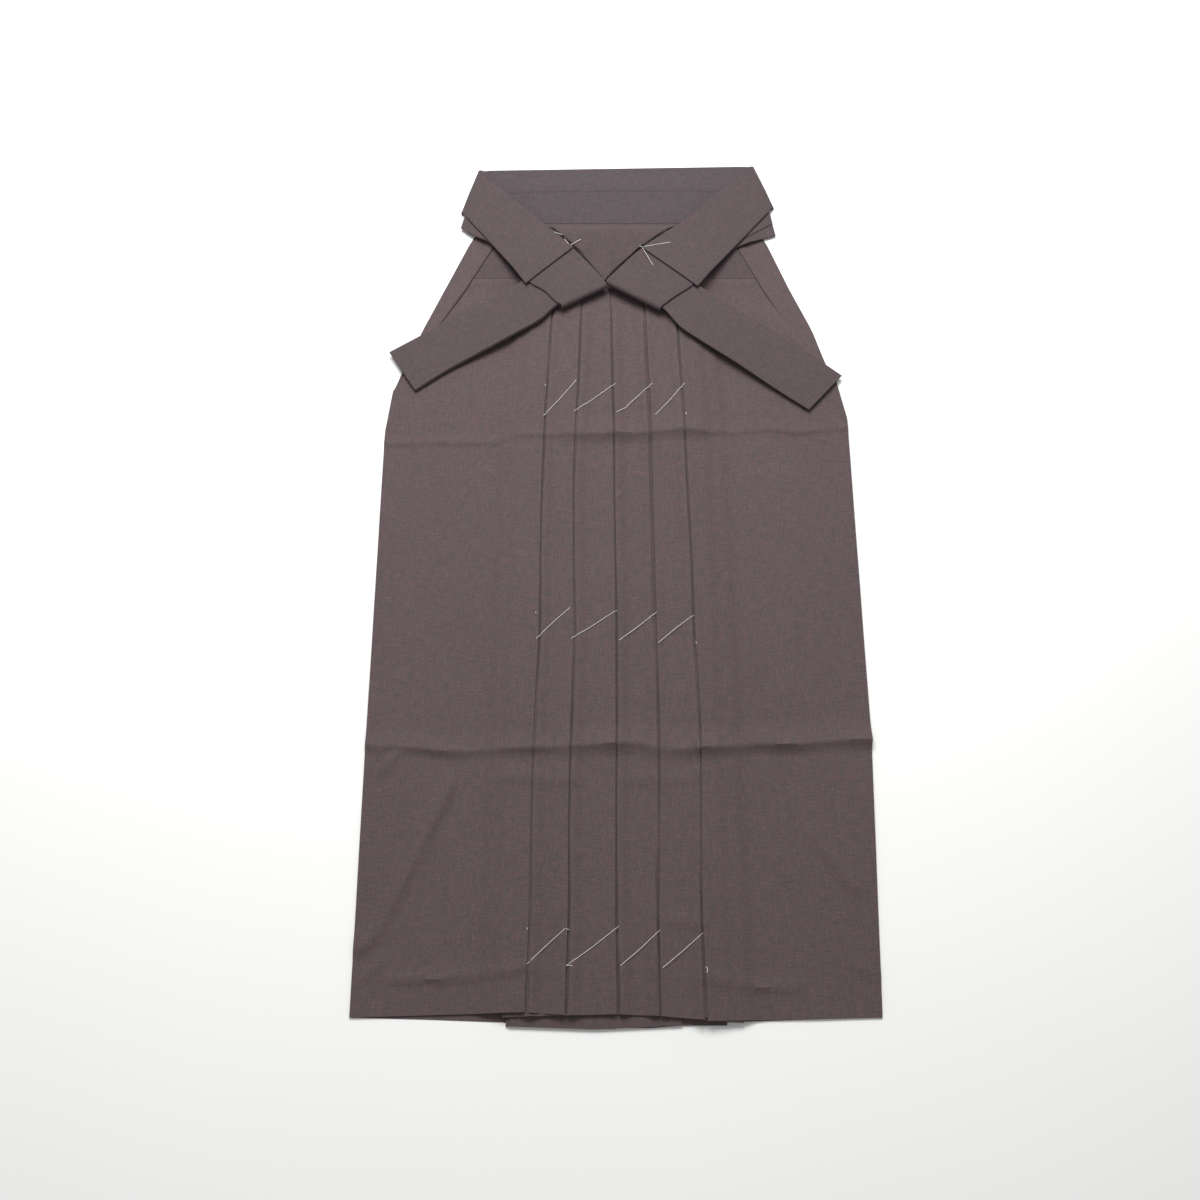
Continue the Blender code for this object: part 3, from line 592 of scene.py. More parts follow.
def cloth_sheet(name, points, thickness, material, node):
    """A sheet of cloth through a grid of points, thickened, in place of a frame node."""
    points = np.array(points, float)
    rows, width = points.shape[:2]
    across = distances(points, 1)
    across -= across[:, width // 2:width // 2 + 1]
    along = distances(points, 0).mean(1)
    place = points.copy()
    place[:, :, 1] -= HEM_DEPTH
    mesh = bpy.data.meshes.new(name)
    faces = [(i * width + j, i * width + j + 1, (i + 1) * width + j + 1, (i + 1) * width + j)
             for i in range(rows - 1) for j in range(width - 1)]
    mesh.from_pydata(place.reshape(-1, 3).tolist(), [], faces)
    layer = mesh.uv_layers.new(name="cloth")
    corners = np.empty(len(mesh.loops), np.int32)
    mesh.loops.foreach_get("vertex_index", corners)
    spots = np.stack([across, np.broadcast_to(along[:, None], across.shape)], 2).reshape(-1, 2)
    layer.uv.foreach_set("vector", spots[corners].astype(np.float32).ravel())
    mesh.materials.append(material)
    sheet = add_object(name, mesh)
    solidify = sheet.modifiers.new("thickness", "SOLIDIFY")
    solidify.thickness = thickness
    solidify.offset = 0.0
    solidify.use_even_offset = True
    solid = finished_mesh(sheet)
    sheet.modifiers.clear()
    sheet.data = solid
    bpy.data.meshes.remove(mesh)
    solid.name = name
    solid.shade_smooth()
    solid.set_sharp_from_angle(angle=SHARP_ANGLE)
    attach(sheet, "root")
    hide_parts(node)
    cut = CUTS[name]
    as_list(cut.rests_on)


def half_turn(start, end, outward, facets=TURN_STEPS, reach=None):
    """Lines round a half turn between two lines of points, standing out by its reach."""
    middle = (start + end) / 2
    if reach is None:
        reach = np.linalg.norm(end - start, axis=-1, keepdims=True) / 2
    angles = [math.pi * step / facets for step in range(1, facets)]
    return [middle + (start - middle) * math.cos(angle) + outward * reach * math.sin(angle)
            for angle in angles]


def row_ups(sizes):
    """Heights of the rows of the front, closer together at the creases and the seam."""
    wide = sizes.row_spacing
    close, finest = CLOSE_ROWS * wide, FINEST_ROWS * wide
    below, above = CREASE_ROWS
    ups = [0.0]
    for high, spacing in ((LOWER_CREASE[0] + below, wide), (LOWER_CREASE[0] + above, close),
                          (UPPER_CREASE[0] + below, wide), (UPPER_CREASE[0] + above, close),
                          (FRONT_RISE[0], wide), (FRONT_BAND_BOTTOM - SEAM_ROW, close),
                          (FRONT_BAND_BOTTOM, finest), (FRONT_PANEL_TOP, wide)):
        low = ups[-1]
        ups += list(np.linspace(low, high, steps(high - low, spacing) + 1)[1:])
    return np.array(ups)


def slanted(row, x):
    """The height at which a row of the front, which slants to its right, crosses X."""
    right = np.interp(row, (0.0, LOWER_CREASE[0], UPPER_CREASE[0], FRONT_RISE[0], 1.0),
                      (0.0, LOWER_CREASE[1], UPPER_CREASE[1], FRONT_RISE[0], 1.0))
    return between(row, right, (x - HEM_LEFT) / HEM_WIDTH)


def foot_drop(layer, x):
    """How far a layer's foot stands above the hem line along its width."""
    ends = [float(front_x(name, 0.0)) for name in layer]
    feet = [FOLD_LINES[name].foot if name in FOLD_LINES else 0.0 for name in layer]
    return between(feet[0], feet[1], np.clip((x - ends[0]) / (ends[1] - ends[0]), 0.0, 1.0))


def over_edge(order, start, end):
    """The turned edge that lies over a layer within its width, and its open side."""
    def middle_x(name):
        return float(front_x(name, MIDDLE_UP))

    names = [name for layer in FRONT_LAYERS[order + 1:] for name in layer
             if name.startswith("edge")]
    low, high = sorted((middle_x(start), middle_x(end)))
    inside = [name for name in names if low + OVERLAP < middle_x(name) < high - OVERLAP]
    if not inside:
        return None
    left = [name for name in inside if name in LEFT_EDGES]
    if left:
        return max(left, key=middle_x), 1.0
    return min(inside, key=middle_x), -1.0


def spread(first, last, marks, spacing):
    """Columns from one line to another, close together between two marks."""
    way = 1.0 if last[0] > first[0] else -1.0
    lines = [first]
    for mark in sorted(marks, key=lambda mark: way * mark[0]):
        lines.append(way * np.clip(way * mark, way * (first + way * 0.001),
                                   way * (last - way * 0.001)))
    lines.append(last)
    gaps = [spacing] * (len(lines) - 1)
    if marks:
        gaps[1] = CLOSE_COLUMNS
    columns = [first]
    for low, high, gap in zip(lines, lines[1:], gaps):
        count = steps(float(np.abs(high - low).max()), gap, 2)
        columns += [between(low, high, k / count) for k in range(1, count + 1)]
    return columns


def to_and_fro(layers, first_reversed):
    """A path through layers, every second one run backwards."""
    path = []
    for place, layer in enumerate(layers):
        backwards = (place % 2 == 1) != first_reversed
        path.append((layer, *(layer[::-1] if backwards else layer)))
    return path


def front_grid(sizes, creases, path, shown):
    """Rows of points over a whole front panel, layer after layer."""
    rows = row_ups(sizes)
    columns = []
    for place, (layer, start, end) in enumerate(path):
        order = FRONT_LAYERS.index(layer)
        first, last = front_x(start, rows), front_x(end, rows)
        way = 1.0 if last[0] > first[0] else -1.0
        if place > 0:
            first = first + way * EDGE_INSET
        elif start == "seam":
            first = first + SEAM_GAP / 2
        if place < len(path) - 1:
            last = last - way * EDGE_INSET
        elif end == "seam":
            last = last - SEAM_GAP / 2
        spacing = sizes.column_spacing * (1.0 if layer in shown else HIDDEN_COLUMNS)
        edge = over_edge(order, start, end) if layer in shown else None
        marks = []
        if edge:
            line = front_x(edge[0], rows)
            marks = [line - edge[1] * EDGE_COLUMNS[0], line + edge[1] * EDGE_COLUMNS[1]]
        strip = []
        for x in spread(first, last, marks, spacing):
            up = slanted(rows, x)
            z = layer_z(creases, order, x, up)
            up = up + foot_drop(layer, x) * near_hem(up)
            strip.append(np.stack([x, up, z], 1))
        if columns:
            columns += half_turn(columns[-1], strip[0], np.array([-way, 0.0, 0.0]))
        columns += strip
    return np.stack(columns, 1)


def beyond_slit(outer, inner, slit, sign, count, feet, hem, side):
    """The back's outer layer, standing up beyond the side edge of the front."""
    near = slit - sign * 0.004
    far = np.where(np.abs(outer[:, 0]) > np.abs(slit) + 0.012, slit + sign * 0.010,
                   between(outer[:, 0], near, 0.6))
    ups = outer[:, 1] - hem * feet[0]
    xs = [between(outer[:, 0], far, k / 4) for k in range(4)]
    xs += [between(far, near, k / 16) for k in range(16)]
    xs += [between(near, inner[:, 0], k / (count - 4)) for k in range(count - 3)]
    strip = []
    for x in xs:
        share = np.clip((outer[:, 0] - x) / (outer[:, 0] - inner[:, 0]), 0.0, 1.0)
        foot = np.interp(share, FOOT_SHARES, feet)
        stand = groove(sign * (x - slit), SIDE_GROOVE) * ramp(ups, SIDE_SLIT)
        stand *= 1.0 - ramp(ups, SIDE_GROOVE_END)
        strip.append(np.stack([x, ups + hem * foot,
                               outer[:, 2] + SIDE_GROOVE_RISE[side] * stand], 1))
    return strip


def back_grid(sizes, side, sign):
    """Rows of points over a back panel: out to the centre, back, and in to the seam."""
    seam_up = BACK_BAND_BOTTOM
    ups = np.concatenate([[0.0, 0.003, 0.006, 0.010], np.linspace(0.016, BACK_RISE[0], 90),
                          np.linspace(*BACK_RISE, 9)[1:],
                          [seam_up - 0.0008, seam_up - 0.0004, seam_up - 0.0001],
                          np.linspace(seam_up + 0.002, BACK_PANEL_TOP, 9)])
    lift = LAYER * ramp(ups, BACK_RISE) + BACK_PUFF * swollen(ups, seam_up)
    heights = (sizes.cloth / 2 + lift, WALL / 2 + LAYER + lift, WALL / 2 + 2 * LAYER + lift)
    centre = np.full_like(ups, sign * (SEAM_GAP / 2 + EDGE_INSET))
    inner = sign * (back_pleat_depth(ups) - EDGE_INSET)
    gusset = GUSSET_WIDTH * np.clip(1.0 - ups / CROTCH, 0.0, 1.0)
    seam = fold_x("seam", np.minimum(ups, FOLD_UPS[-1])) + sign * (SEAM_GAP / 2 + gusset)
    edge = side_x(ups, "back_" + side)
    slit = side_x(ups, "front_" + side)
    hem = near_hem(ups)
    columns = []
    pleat, middle = PLEAT_FOOT[side], CENTRE_FOOT[side]
    runs = ((edge, centre, heights[0], 34, (0.0, 0.4 * BACK_FOOT, BACK_FOOT, middle)),
            (centre, inner, heights[1], 10, (middle, middle, pleat, pleat)),
            (inner, seam, heights[2], 8, (pleat, pleat, BACK_FOOT, BACK_FOOT)))
    for start, end, z, count, feet in runs:
        strip = []
        for share in np.linspace(0.0, 1.0, count + 1):
            foot = np.interp(share, FOOT_SHARES, feet)
            strip.append(np.stack([between(start, end, share), ups + hem * foot,
                                   z * squeezed(ups)], 1))
        if start is edge:
            strip = beyond_slit(strip[0], strip[-1], slit, sign, count, feet, hem, side)
        if columns:
            way = 1.0 if end[0] > start[0] else -1.0
            columns += half_turn(columns[-1], strip[0], np.array([-way, 0.0, 0.0]))
        columns += strip
    return np.stack(columns, 1)


def gusset_grid(side, sign):
    """A long triangle inside a leg."""
    ups = np.concatenate([[0.0, 0.003, 0.006], np.linspace(0.010, CROTCH - GUSSET_LAP, 30)])
    seam = fold_x("seam", ups) + sign * SEAM_GAP / 2
    width = GUSSET_WIDTH * (1.0 - ups / CROTCH) + GUSSET_LAP
    z = (3 * LAYER + WALL / 2) * squeezed(ups)
    hem = near_hem(ups)
    columns = []
    for share in np.linspace(0.0, 1.0, 8):
        foot = between(-GUSSET_DROP, PLEAT_FOOT[side], share)
        columns.append(np.stack([seam + sign * width * share, ups + hem * foot, z], 1))
    return np.stack(columns, 1)


def band_grid(xs_of, ups, under, over):
    """Rows across a waistband folded over an edge: up its back, round the top and down."""
    rise, fall = ([np.stack([xs_of(up), np.full_like(z, up), z], 1) for up, z in run]
                  for run in (zip(ups, under), zip(ups[::-1], over[::-1])))
    turn = half_turn(rise[-1], fall[0], np.array([0.0, 1.0, 0.0]))
    return np.stack(rise + turn + fall, 1)


def between_ties(x, up):
    """How far the front waistband is pushed up between the ties that cross over it."""
    left, right = (np.interp(-up, [-row.up for row in band], [row.x for row in band])
                   for band in (LEFT_BAND, RIGHT_BAND))
    left_clear = between(*LEFT_CLEAR, ramp(up, LEFT_CLEAR_UPS))
    right_clear = between(*RIGHT_CLEAR, ramp(up, RIGHT_CLEAR_UPS))
    narrow = np.clip((right - left) / 0.030, 0.15, 1.0)      # towards the tip
    walls = (eased((0.70 * (x - left) - left_clear * narrow) / (0.0020 * narrow))
             * eased((0.72 * (right - x) - right_clear) / (0.0018 * narrow)))
    high = eased((FRONT_BAND_TOP - 0.001 - up) / 0.014)
    middle = (x - left) / np.maximum(right - left, 0.002)
    sag = 1.0 - 0.10 * np.sin(np.clip(middle, 0.0, 1.0) * math.pi)
    return BETWEEN_TIES * walls * high * sag


def front_band_grid():
    """The front waistband, showing the pleats beneath it."""
    shares = np.concatenate([np.linspace(0.0, 0.38, 60)[:-1], np.linspace(0.38, 0.62, 150),
                             np.linspace(0.62, 1.0, 60)[1:]])
    top = FRONT_BAND_TOP - LAYER / 2 - WALL / 2

    def xs_of(up):
        clamped = np.full_like(shares, min(up, FRONT_PANEL_TOP))
        return between(side_x(clamped, "front_left"), side_x(clamped, "front_right"), shares)

    ups = np.concatenate([np.linspace(FRONT_BAND_BOTTOM, FRONT_PANEL_TOP, 38),
                          np.linspace(FRONT_PANEL_TOP, top, 16)[1:]])
    under, over, tips = [], [], []
    for up in ups:
        x = xs_of(up)
        floor = layers_under_front(x, np.full_like(x, up)) - 1.0
        inside = np.full_like(x, min(up, FRONT_PANEL_TOP))
        pleats = sum(cover(layer, x, inside) for layer in FRONT_LAYERS)
        fade = 1.0 - eased((up - FRONT_PANEL_TOP) / (top - FRONT_PANEL_TOP))
        pressed = BAND_PRESS * (1.0 - eased((up - FRONT_BAND_BOTTOM) / 0.012))
        under.append(floor * LAYER + WALL / 2)
        drawn = up - FRONT_BAND_TIP * (eased(1.0 - np.abs(x - TIP_X) / TIP_WIDTH) * (
            1.0 - eased((up - FRONT_BAND_BOTTOM) / TIP_HEIGHT)))
        tips.append(drawn)
        over.append((floor + 1.0 + pleats * fade) * LAYER + WALL / 2 - pressed
                    + between_ties(x, drawn))
    points = band_grid(xs_of, ups, under, over)
    points[:, -len(ups):, 1] = np.stack(tips[::-1], 1)
    return points


def back_band_grid():
    """The back waistband, over the inverted pleat, with its facing turned down inside."""
    left, right = (float(side_x(BACK_PANEL_TOP, edge)) for edge in ("back_left", "back_right"))
    xs = np.linspace(left, right, 90)
    pleat = 1.0 - eased((np.abs(xs) - BACK_PLEAT_TOP - 0.006) / 0.026)
    top = BACK_BAND_TOP - LAYER / 2 - WALL / 2
    ups = np.concatenate([np.linspace(BACK_BAND_BOTTOM, FACING_EDGE - 0.0008, 12),
                          [FACING_EDGE - 0.0004, FACING_EDGE],
                          np.linspace(FACING_EDGE + 0.0006, top, 12)])
    under, over = [], []
    for up in ups:
        filled = 1.0 - eased((up - BACK_PANEL_TOP) / (top - BACK_PANEL_TOP))
        facing = FACING * eased((up - FACING_EDGE + 0.0004) / 0.0008)
        pressed = BAND_PRESS * (1.0 - eased((up - BACK_BAND_BOTTOM) / 0.010))
        under.append(np.full_like(xs, WALL / 2))
        over.append(WALL / 2 + LAYER * (1.0 + (1.0 + 2.0 * pleat) * filled) + facing * filled
                    - pressed)
    points = band_grid(lambda up: xs, ups, under, over)
    share = (points[:, :, 1] - BACK_BAND_BOTTOM) / (top - BACK_BAND_BOTTOM)
    points[:, :, 1] += BACK_BAND_SLOPE * points[:, :, 0] * share
    return points


# ---- ties ---------------------------------------------------------------------------

def mound(x):
    """Z of the soft mound under the folded ties."""
    def fallen(centre):
        past = np.abs(x) - centre
        soft = (past + MOUND_EASE) ** 2 / (4 * MOUND_EASE)
        return np.where(past <= -MOUND_EASE, 0.0, np.where(past >= MOUND_EASE, past, soft))
    return MOUND_TOP - MOUND_FALL * (fallen(MOUND_SHOULDER) - fallen(MOUND_FOOT))


def smooth_rows(table, spacing=ROW_SPACING):
    """Rows set close together along a smooth curve through those of a table."""
    table = np.array(table, float)
    middles = (table[:, :2] + table[:, 2:4]) / 2
    gaps = np.linalg.norm(np.diff(middles, axis=0), axis=1)
    runs = np.diff(table, axis=0) / gaps[:, None]
    slopes = np.concatenate([runs[:1], np.zeros_like(table[1:-1]), runs[-1:]])
    same_way = runs[1:] * runs[:-1] > 0.0
    np.divide(2 * runs[1:] * runs[:-1], runs[1:] + runs[:-1], out=slopes[1:-1],
              where=same_way)
    rows = []
    for k, gap in enumerate(gaps):
        count = steps(gap, spacing)
        for share in np.linspace(0.0, 1.0, count + 1)[(1 if k else 0):]:
            a, b = share * share * (3 - 2 * share), share * (1 - share) ** 2
            c = share * share * (share - 1)
            rows.append(table[k] * (1 - a) + table[k + 1] * a
                        + (slopes[k] * b + slopes[k + 1] * c) * gap)
    return np.array(rows)


def half_thickness(plies):
    """Half the thickness of a tie folded into plies."""
    return (plies * LAYER - SEAM_GAP) / 2


def laid_rows(rows, plies, span=(0.0, 1.0)):
    """Middle of a tie over the mound: rows of X, up, outer X, outer up and lift."""
    shares = between(span[0], span[1], np.linspace(0.0, 1.0, ACROSS + 1))
    x = between(rows[:, 0:1], rows[:, 2:3], shares)
    up = between(rows[:, 1:2], rows[:, 3:4], shares)
    return np.stack([x, up, mound(x) + rows[:, 4:5] + half_thickness(plies)], 2)


def turned_rows(start, end, outward, facets=8):
    """Rows round a turn between two rows that lie over each other."""
    return half_turn(start, end, outward, facets, np.abs(end[:, 2:3] - start[:, 2:3]) / 2)


def unit(vectors):
    """Vectors of length 1."""
    return vectors / np.linalg.norm(vectors, axis=-1, keepdims=True)


def plied(rows, plies, set_back=0.0):
    """A tie through rows of middle points, folded lengthwise; its third ply is set back."""
    rows = np.array(rows)
    ahead = np.concatenate([rows[1:], rows[-1:]])
    behind = np.concatenate([rows[:1], rows[:-1]])
    across = unit(rows[:, -1:] - rows[:, :1])
    normals = unit(np.cross(ahead - behind, np.broadcast_to(across, rows.shape)))
    out = (unit(rows[:, 0] - rows[:, 1]), unit(rows[:, -1] - rows[:, -2]))
    set_back = np.broadcast_to(np.asarray(set_back, float), (len(rows),))[:, None]
    shares = np.linspace(0.0, 1.0, rows.shape[1])[None, :, None]
    columns = []
    for ply in range(plies):
        flat = rows + normals * (ply - (plies - 1) / 2) * LAYER
        flat[:, 0] -= out[0] * EDGE_INSET
        flat[:, -1] -= out[1] * EDGE_INSET
        if ply == 2:
            flat -= out[1][:, None] * set_back[:, :, None] * shares
        strip = [flat[:, k] for k in range(flat.shape[1])]
        if ply % 2:
            strip.reverse()
        if columns:
            columns += half_turn(columns[-1], strip[0], out[1 if ply % 2 else 0])
        columns += strip
    return np.stack(columns, 1)


def back_tie_rows(side, sign, band, corner):
    """Middle of a back tie: on from the waistband, over at the corner and in."""
    table = [(*row[:4], row.tie) for row in band if row.tie is not None]
    rows = laid_rows(smooth_rows(table), BACK_TIE_PLIES)
    half = half_thickness(BACK_TIE_PLIES)
    shares = np.linspace(0.0, 1.0, ACROSS + 1)[:, None]
    high = between(rows[0][:, 2:], TURN_HEIGHT, eased((shares - 0.55) / 0.40))
    outward = np.array([sign, 0.0, 0.0])
    x = between(corner.x, corner.lower_x, shares) - sign * ((high - half) / 2 + half)
    low = np.concatenate([x, between(back_band_top(corner.x), corner.lower_up, shares),
                          np.full_like(x, half)], 1)
    top = np.concatenate([x, between(corner.up, corner.lower_up, shares), high], 1)
    seam_x = float(side_x(BACK_PANEL_TOP, "back_" + side)) - sign * LAYER / 2
    seam_ups = between(back_band_top(seam_x), BACK_BAND_BOTTOM + TIE_SEAM_INSET, shares)
    seam = np.concatenate([np.full_like(shares, seam_x), seam_ups,
                           np.full_like(shares, half)], 1)
    lead = [between(seam, low, share) for share in (0.0, 0.35, 0.7)]
    follow = [between(top, rows[0], share) for share in (0.0, 0.5)]
    return lead + [low] + turned_rows(low, top, outward) + follow + list(rows)


def wrap_rows(sign, band):
    """Middle of a wrap: over the front tie, round its lower edge and back under it."""
    wrapped = [row for row in band if row.wrap is not None]
    over, under = (laid_rows(smooth_rows(table), WRAP_PLIES, WRAP_SPAN) for table in (
        [(*row[:4], row.wrap) for row in wrapped],
        [(*row[:4], WRAP_UNDER) for row in wrapped[:0:-1]]))
    line = unit(over[-1][-1] - over[-1][0])
    outward = np.array([-sign * abs(line[1]), -abs(line[0]), 0.0])
    return list(over) + turned_rows(over[-1], under[0], outward, 12) + list(under)


# ---- threads ------------------------------------------------------------------------

def threads(name, runs, thickness, material):
    """Threads through runs of points, as one piece."""
    curve = bpy.data.curves.new(name, "CURVE")
    curve.dimensions = "3D"
    curve.bevel_depth = thickness / 2
    curve.bevel_resolution = 2
    curve.use_fill_caps = True
    for run in runs:
        spline = curve.splines.new("POLY")
        spline.points.add(len(run) - 1)
        for point, (x, up, z) in zip(spline.points, run):
            point.co = (x, up - HEM_DEPTH, z, 1.0)
    thread = add_object(name, curve)
    mesh = finished_mesh(thread)
    bpy.data.objects.remove(thread)
    mesh.materials.clear()
    mesh.materials.append(material)
    mesh.shade_smooth()
    piece = add_object(name, mesh)
    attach(piece, "root")


# Basting stitches across the pleats, three rows of four: the lower end at one fold
# and the upper end at the next, with a short tail beyond the first and the last.
BASTING_ROWS = {
    "basting_upper": (
        ((-.0836, .6847), (-.0645, .7072), (-.0451, .7319)),
        ((-.0477, .6905), (-.0235, .7092), (.0013, .7286)),
        ((.0025, .6912), (.0135, .6972), (.0202, .7049), (.0453, .7286)),
        ((.0485, .6873), (.0655, .7062), (.0833, .7273)),
        ((-.0823, .7257), (-.0815, .7237)),
        ((.0843, .6887), (.0847, .6857)),
    ),
    "basting_middle": (
        ((-.0884, .4087), (-.0700, .4280), (-.0507, .4454)),
        ((-.0493, .4087), (-.0240, .4255), (.0023, .4436)),
        ((.0045, .4076), (.0250, .4235), (.0467, .4406)),
        ((.0481, .4040), (.0680, .4215), (.0889, .4371)),
        ((-.0894, .4405), (-.0888, .4384)),
        ((.0903, .4050), (.0908, .4028)),
    ),
    "basting_lower": (
        ((-.0938, .0526), (-.0740, .0715), (-.0536, .0895)),
        ((-.0521, .0516), (-.0240, .0715), (.0032, .0926)),
        ((.0042, .0516), (.0250, .0690), (.0462, .0884)),
        ((.0484, .0495), (.0700, .0670), (.0913, .0854)),
        ((-.0938, .0905), (-.0932, .0885)),
        ((-.0530, .0900), (-.0510, .0884), (-.0490, .0888)),
        ((-.0521, .0516), (-.0480, .0520), (-.0455, .0512)),
        ((.0930, .0505), (.0944, .0492), (.0950, .0470), (.0944, .0445), (.0936, .0452)),
    ),
}
THREAD_SPACING = 0.0015      # between two points of a thread laid over the front
# Small stitches through the front hems, one every so often along these lines.
HEM_STITCH = 0.011
HEM_THREAD = 0.0003
HEM_STITCHES = (
    ((-.2590, .0352), (-.2149, .0345), (-.1285, .0385), (-.0990, .0440)),
    ((.1000, .0382), (.1443, .0304), (.1806, .0274), (.2620, .0300)),
)
# Tacks that hold the ties together: X, up and how far they stand above TACK_HEIGHT.
TACK_HEIGHT = 0.0245
TACKS = {
    "tie_tack_left": (
        ((-.0731, .9269, 0.0), (-.0676, .9245, .0004), (-.0631, .9229, 0.0)),
        ((-.0600, .9167, 0.0), (-.0561, .9109, .0006), (-.0528, .9081, .0002)),
        ((-.0532, .9082, 0.0), (-.0476, .9119, .0005), (-.0404, .9167, 0.0)),
    ),
    "tie_tack_right": (
        ((.0312, .9071, 0.0), (.0342, .9054, .0006), (.0504, .9084, .0010),
         (.0686, .9125, 0.0)),
        ((.0340, .9057, .0004), (.0399, .8939, .0010), (.0474, .8802, 0.0)),
    ),
}


# ---- materials ----------------------------------------------------------------------

class Nodes:
    """Adds shader nodes to a tree, with their inputs set or linked."""

    def __init__(self, tree):
        self.tree = tree

    def add(self, kind, settings=None, inputs=None):
        """A node with its settings, and its inputs given as values or as sockets."""
        node = self.tree.nodes.new(kind)
        for key, value in (settings or {}).items():
            setattr(node, key, value)
        for key, value in (inputs or {}).items():
            if isinstance(value, bpy.types.NodeSocket):
                self.tree.links.new(value, node.inputs[key])
            else:
                node.inputs[key].default_value = value
        return node

    def sum(self, operation, first, second=0.0, third=0.0, clamp=False):
        """The result of a Math node."""
        node = self.add("ShaderNodeMath", {"operation": operation, "use_clamp": clamp},
                        {0: first, 1: second, 2: third})
        return node.outputs[0]

    def times(self, first, second):
        """One value times another."""
        return self.sum("MULTIPLY", first, second)

    def mix(self, share, first, second, blend="MIX"):
        """The result of mixing two colours."""
        node = self.add("ShaderNodeMix", {"data_type": "RGBA", "blend_type": blend},
                        {0: share, 6: first, 7: second})
        return node.outputs[2]

    def shaded(self, colour, light):
        """A colour times a brightness."""
        grey = self.add("ShaderNodeCombineColor", inputs={0: light, 1: light, 2: light})
        return self.mix(1.0, colour, grey.outputs[0], "MULTIPLY")

    def noise(self, vector, scale, detail=2.0, roughness=0.5):
        """Noise from 0 to 1."""
        node = self.add("ShaderNodeTexNoise", {"noise_dimensions": "3D"},
                        {"Vector": vector, "Scale": scale, "Detail": detail,
                         "Roughness": roughness})
        return node.outputs["Fac"]


def new_material(name):
    """A material, its nodes and its shader."""
    material = bpy.data.materials.new(name)
    material.use_nodes = True
    tree = material.node_tree
    return material, Nodes(tree), tree.nodes["Principled BSDF"]


def shot_weave_group():
    """Plain weave of two colours of thread, with slubs and unevenness, and painted shade in
    the dips between threads.
    """
    group = bpy.data.node_groups.new("shot_weave", "ShaderNodeTree")
    for name, kind, way in (
            ("Place", "Vector", "INPUT"), ("Thread Spacing", "Float", "INPUT"),
            ("Warp Colour", "Color", "INPUT"), ("Weft Colour", "Color", "INPUT"),
            ("Slub", "Float", "INPUT"), ("Mottle", "Float", "INPUT"),
            ("Shade", "Float", "INPUT"), ("Color", "Color", "OUTPUT"),
            ("Height", "Float", "OUTPUT")):
        group.interface.new_socket(name=name, in_out=way, socket_type="NodeSocket" + kind)
    nodes = Nodes(group)
    given = nodes.add("NodeGroupInput").outputs
    out = nodes.add("NodeGroupOutput")
    parted = nodes.add("ShaderNodeSeparateXYZ", inputs={0: given["Place"]}).outputs

    def grain(across, along, detail, roughness=0.5):
        """Noise on the cloth, with so many grains to a metre across and along it."""
        place = nodes.add("ShaderNodeVectorMath", {"operation": "MULTIPLY"},
                          {0: given["Place"], 1: (across, along, 1.0)})
        return nodes.noise(place.outputs[0], 1.0, detail, roughness)

    def swung(value, amount):
        """1 give or take an amount, as the value swings about one half."""
        return nodes.sum("MULTIPLY_ADD", nodes.sum("SUBTRACT", value, 0.5),
                         nodes.times(given[amount], 2.0), 1.0)

    turn = nodes.sum("DIVIDE", math.pi, given["Thread Spacing"])
    weft_wave = nodes.sum("SINE", nodes.times(parted["X"], turn))
    warp_wave = nodes.sum("SINE", nodes.times(parted["Y"], turn))
    warp_on_top = nodes.sum("MULTIPLY_ADD", nodes.times(weft_wave, warp_wave), 1.6, 0.5,
                            clamp=True)
    warp_rise = nodes.times(nodes.sum("ABSOLUTE", weft_wave), warp_on_top)
    weft_rise = nodes.times(nodes.sum("ABSOLUTE", warp_wave),
                            nodes.sum("SUBTRACT", 1.0, warp_on_top))
    rise = nodes.sum("ADD", warp_rise, weft_rise)
    warp_slub, weft_slub = grain(1300.0, 60.0, 1.0), grain(60.0, 1300.0, 1.0)
    mottle, patch = grain(520.0, 430.0, 3.0, 0.7), grain(150.0, 120.0, 2.0, 0.6)
    shade = grain(9.0, 5.0, 2.0)
    mixed = nodes.sum("ADD", nodes.sum("MULTIPLY_ADD", mottle, 1.4, -1.1),
                      nodes.times(patch, 1.6))
    share = nodes.sum("ADD", nodes.times(warp_on_top, 0.4), mixed, clamp=True)
    shot = nodes.mix(share, given["Weft Colour"], given["Warp Colour"])
    light = swung(warp_slub, "Slub")
    for value, amount in ((weft_slub, "Slub"), (mottle, "Mottle"), (shade, "Shade")):
        light = nodes.times(light, swung(value, amount))
    # painted shade: the colour darkens in the dips between threads, besides the bump from the
    # weave's height
    light = nodes.times(light, nodes.sum("MULTIPLY_ADD", rise, 0.30, 0.80))
    group.links.new(nodes.shaded(shot, light), out.inputs["Color"])
    slubs = nodes.sum("ADD", warp_slub, weft_slub)
    height = nodes.sum("ADD", nodes.times(rise, 0.5), nodes.times(slubs, 0.5))
    group.links.new(height, out.inputs["Height"])
    return group


# The dye lots of the cloth, the front waistband's darker one being painted shade for the shade
# under and between the crossing ties, and how its slubs, mottle and shade show.
Finish = namedtuple("Finish", "dye slub mottle shade roughness sheen")
FINISHES = {
    "panel_weave": Finish((.97, 1.0, 1.01), .26, .38, .05, .82, .12),
    # painted shade: the front waistband is dyed darker where the crossing ties shade it
    "front_band_weave": Finish((.79, .82, .84), .26, .38, .05, .82, .12),
    "band_weave": Finish((.75, .86, .89), .26, .36, .05, .82, .12),
    "tie_weave": Finish((.80, .85, .87), .24, .36, .05, .80, .10),
}


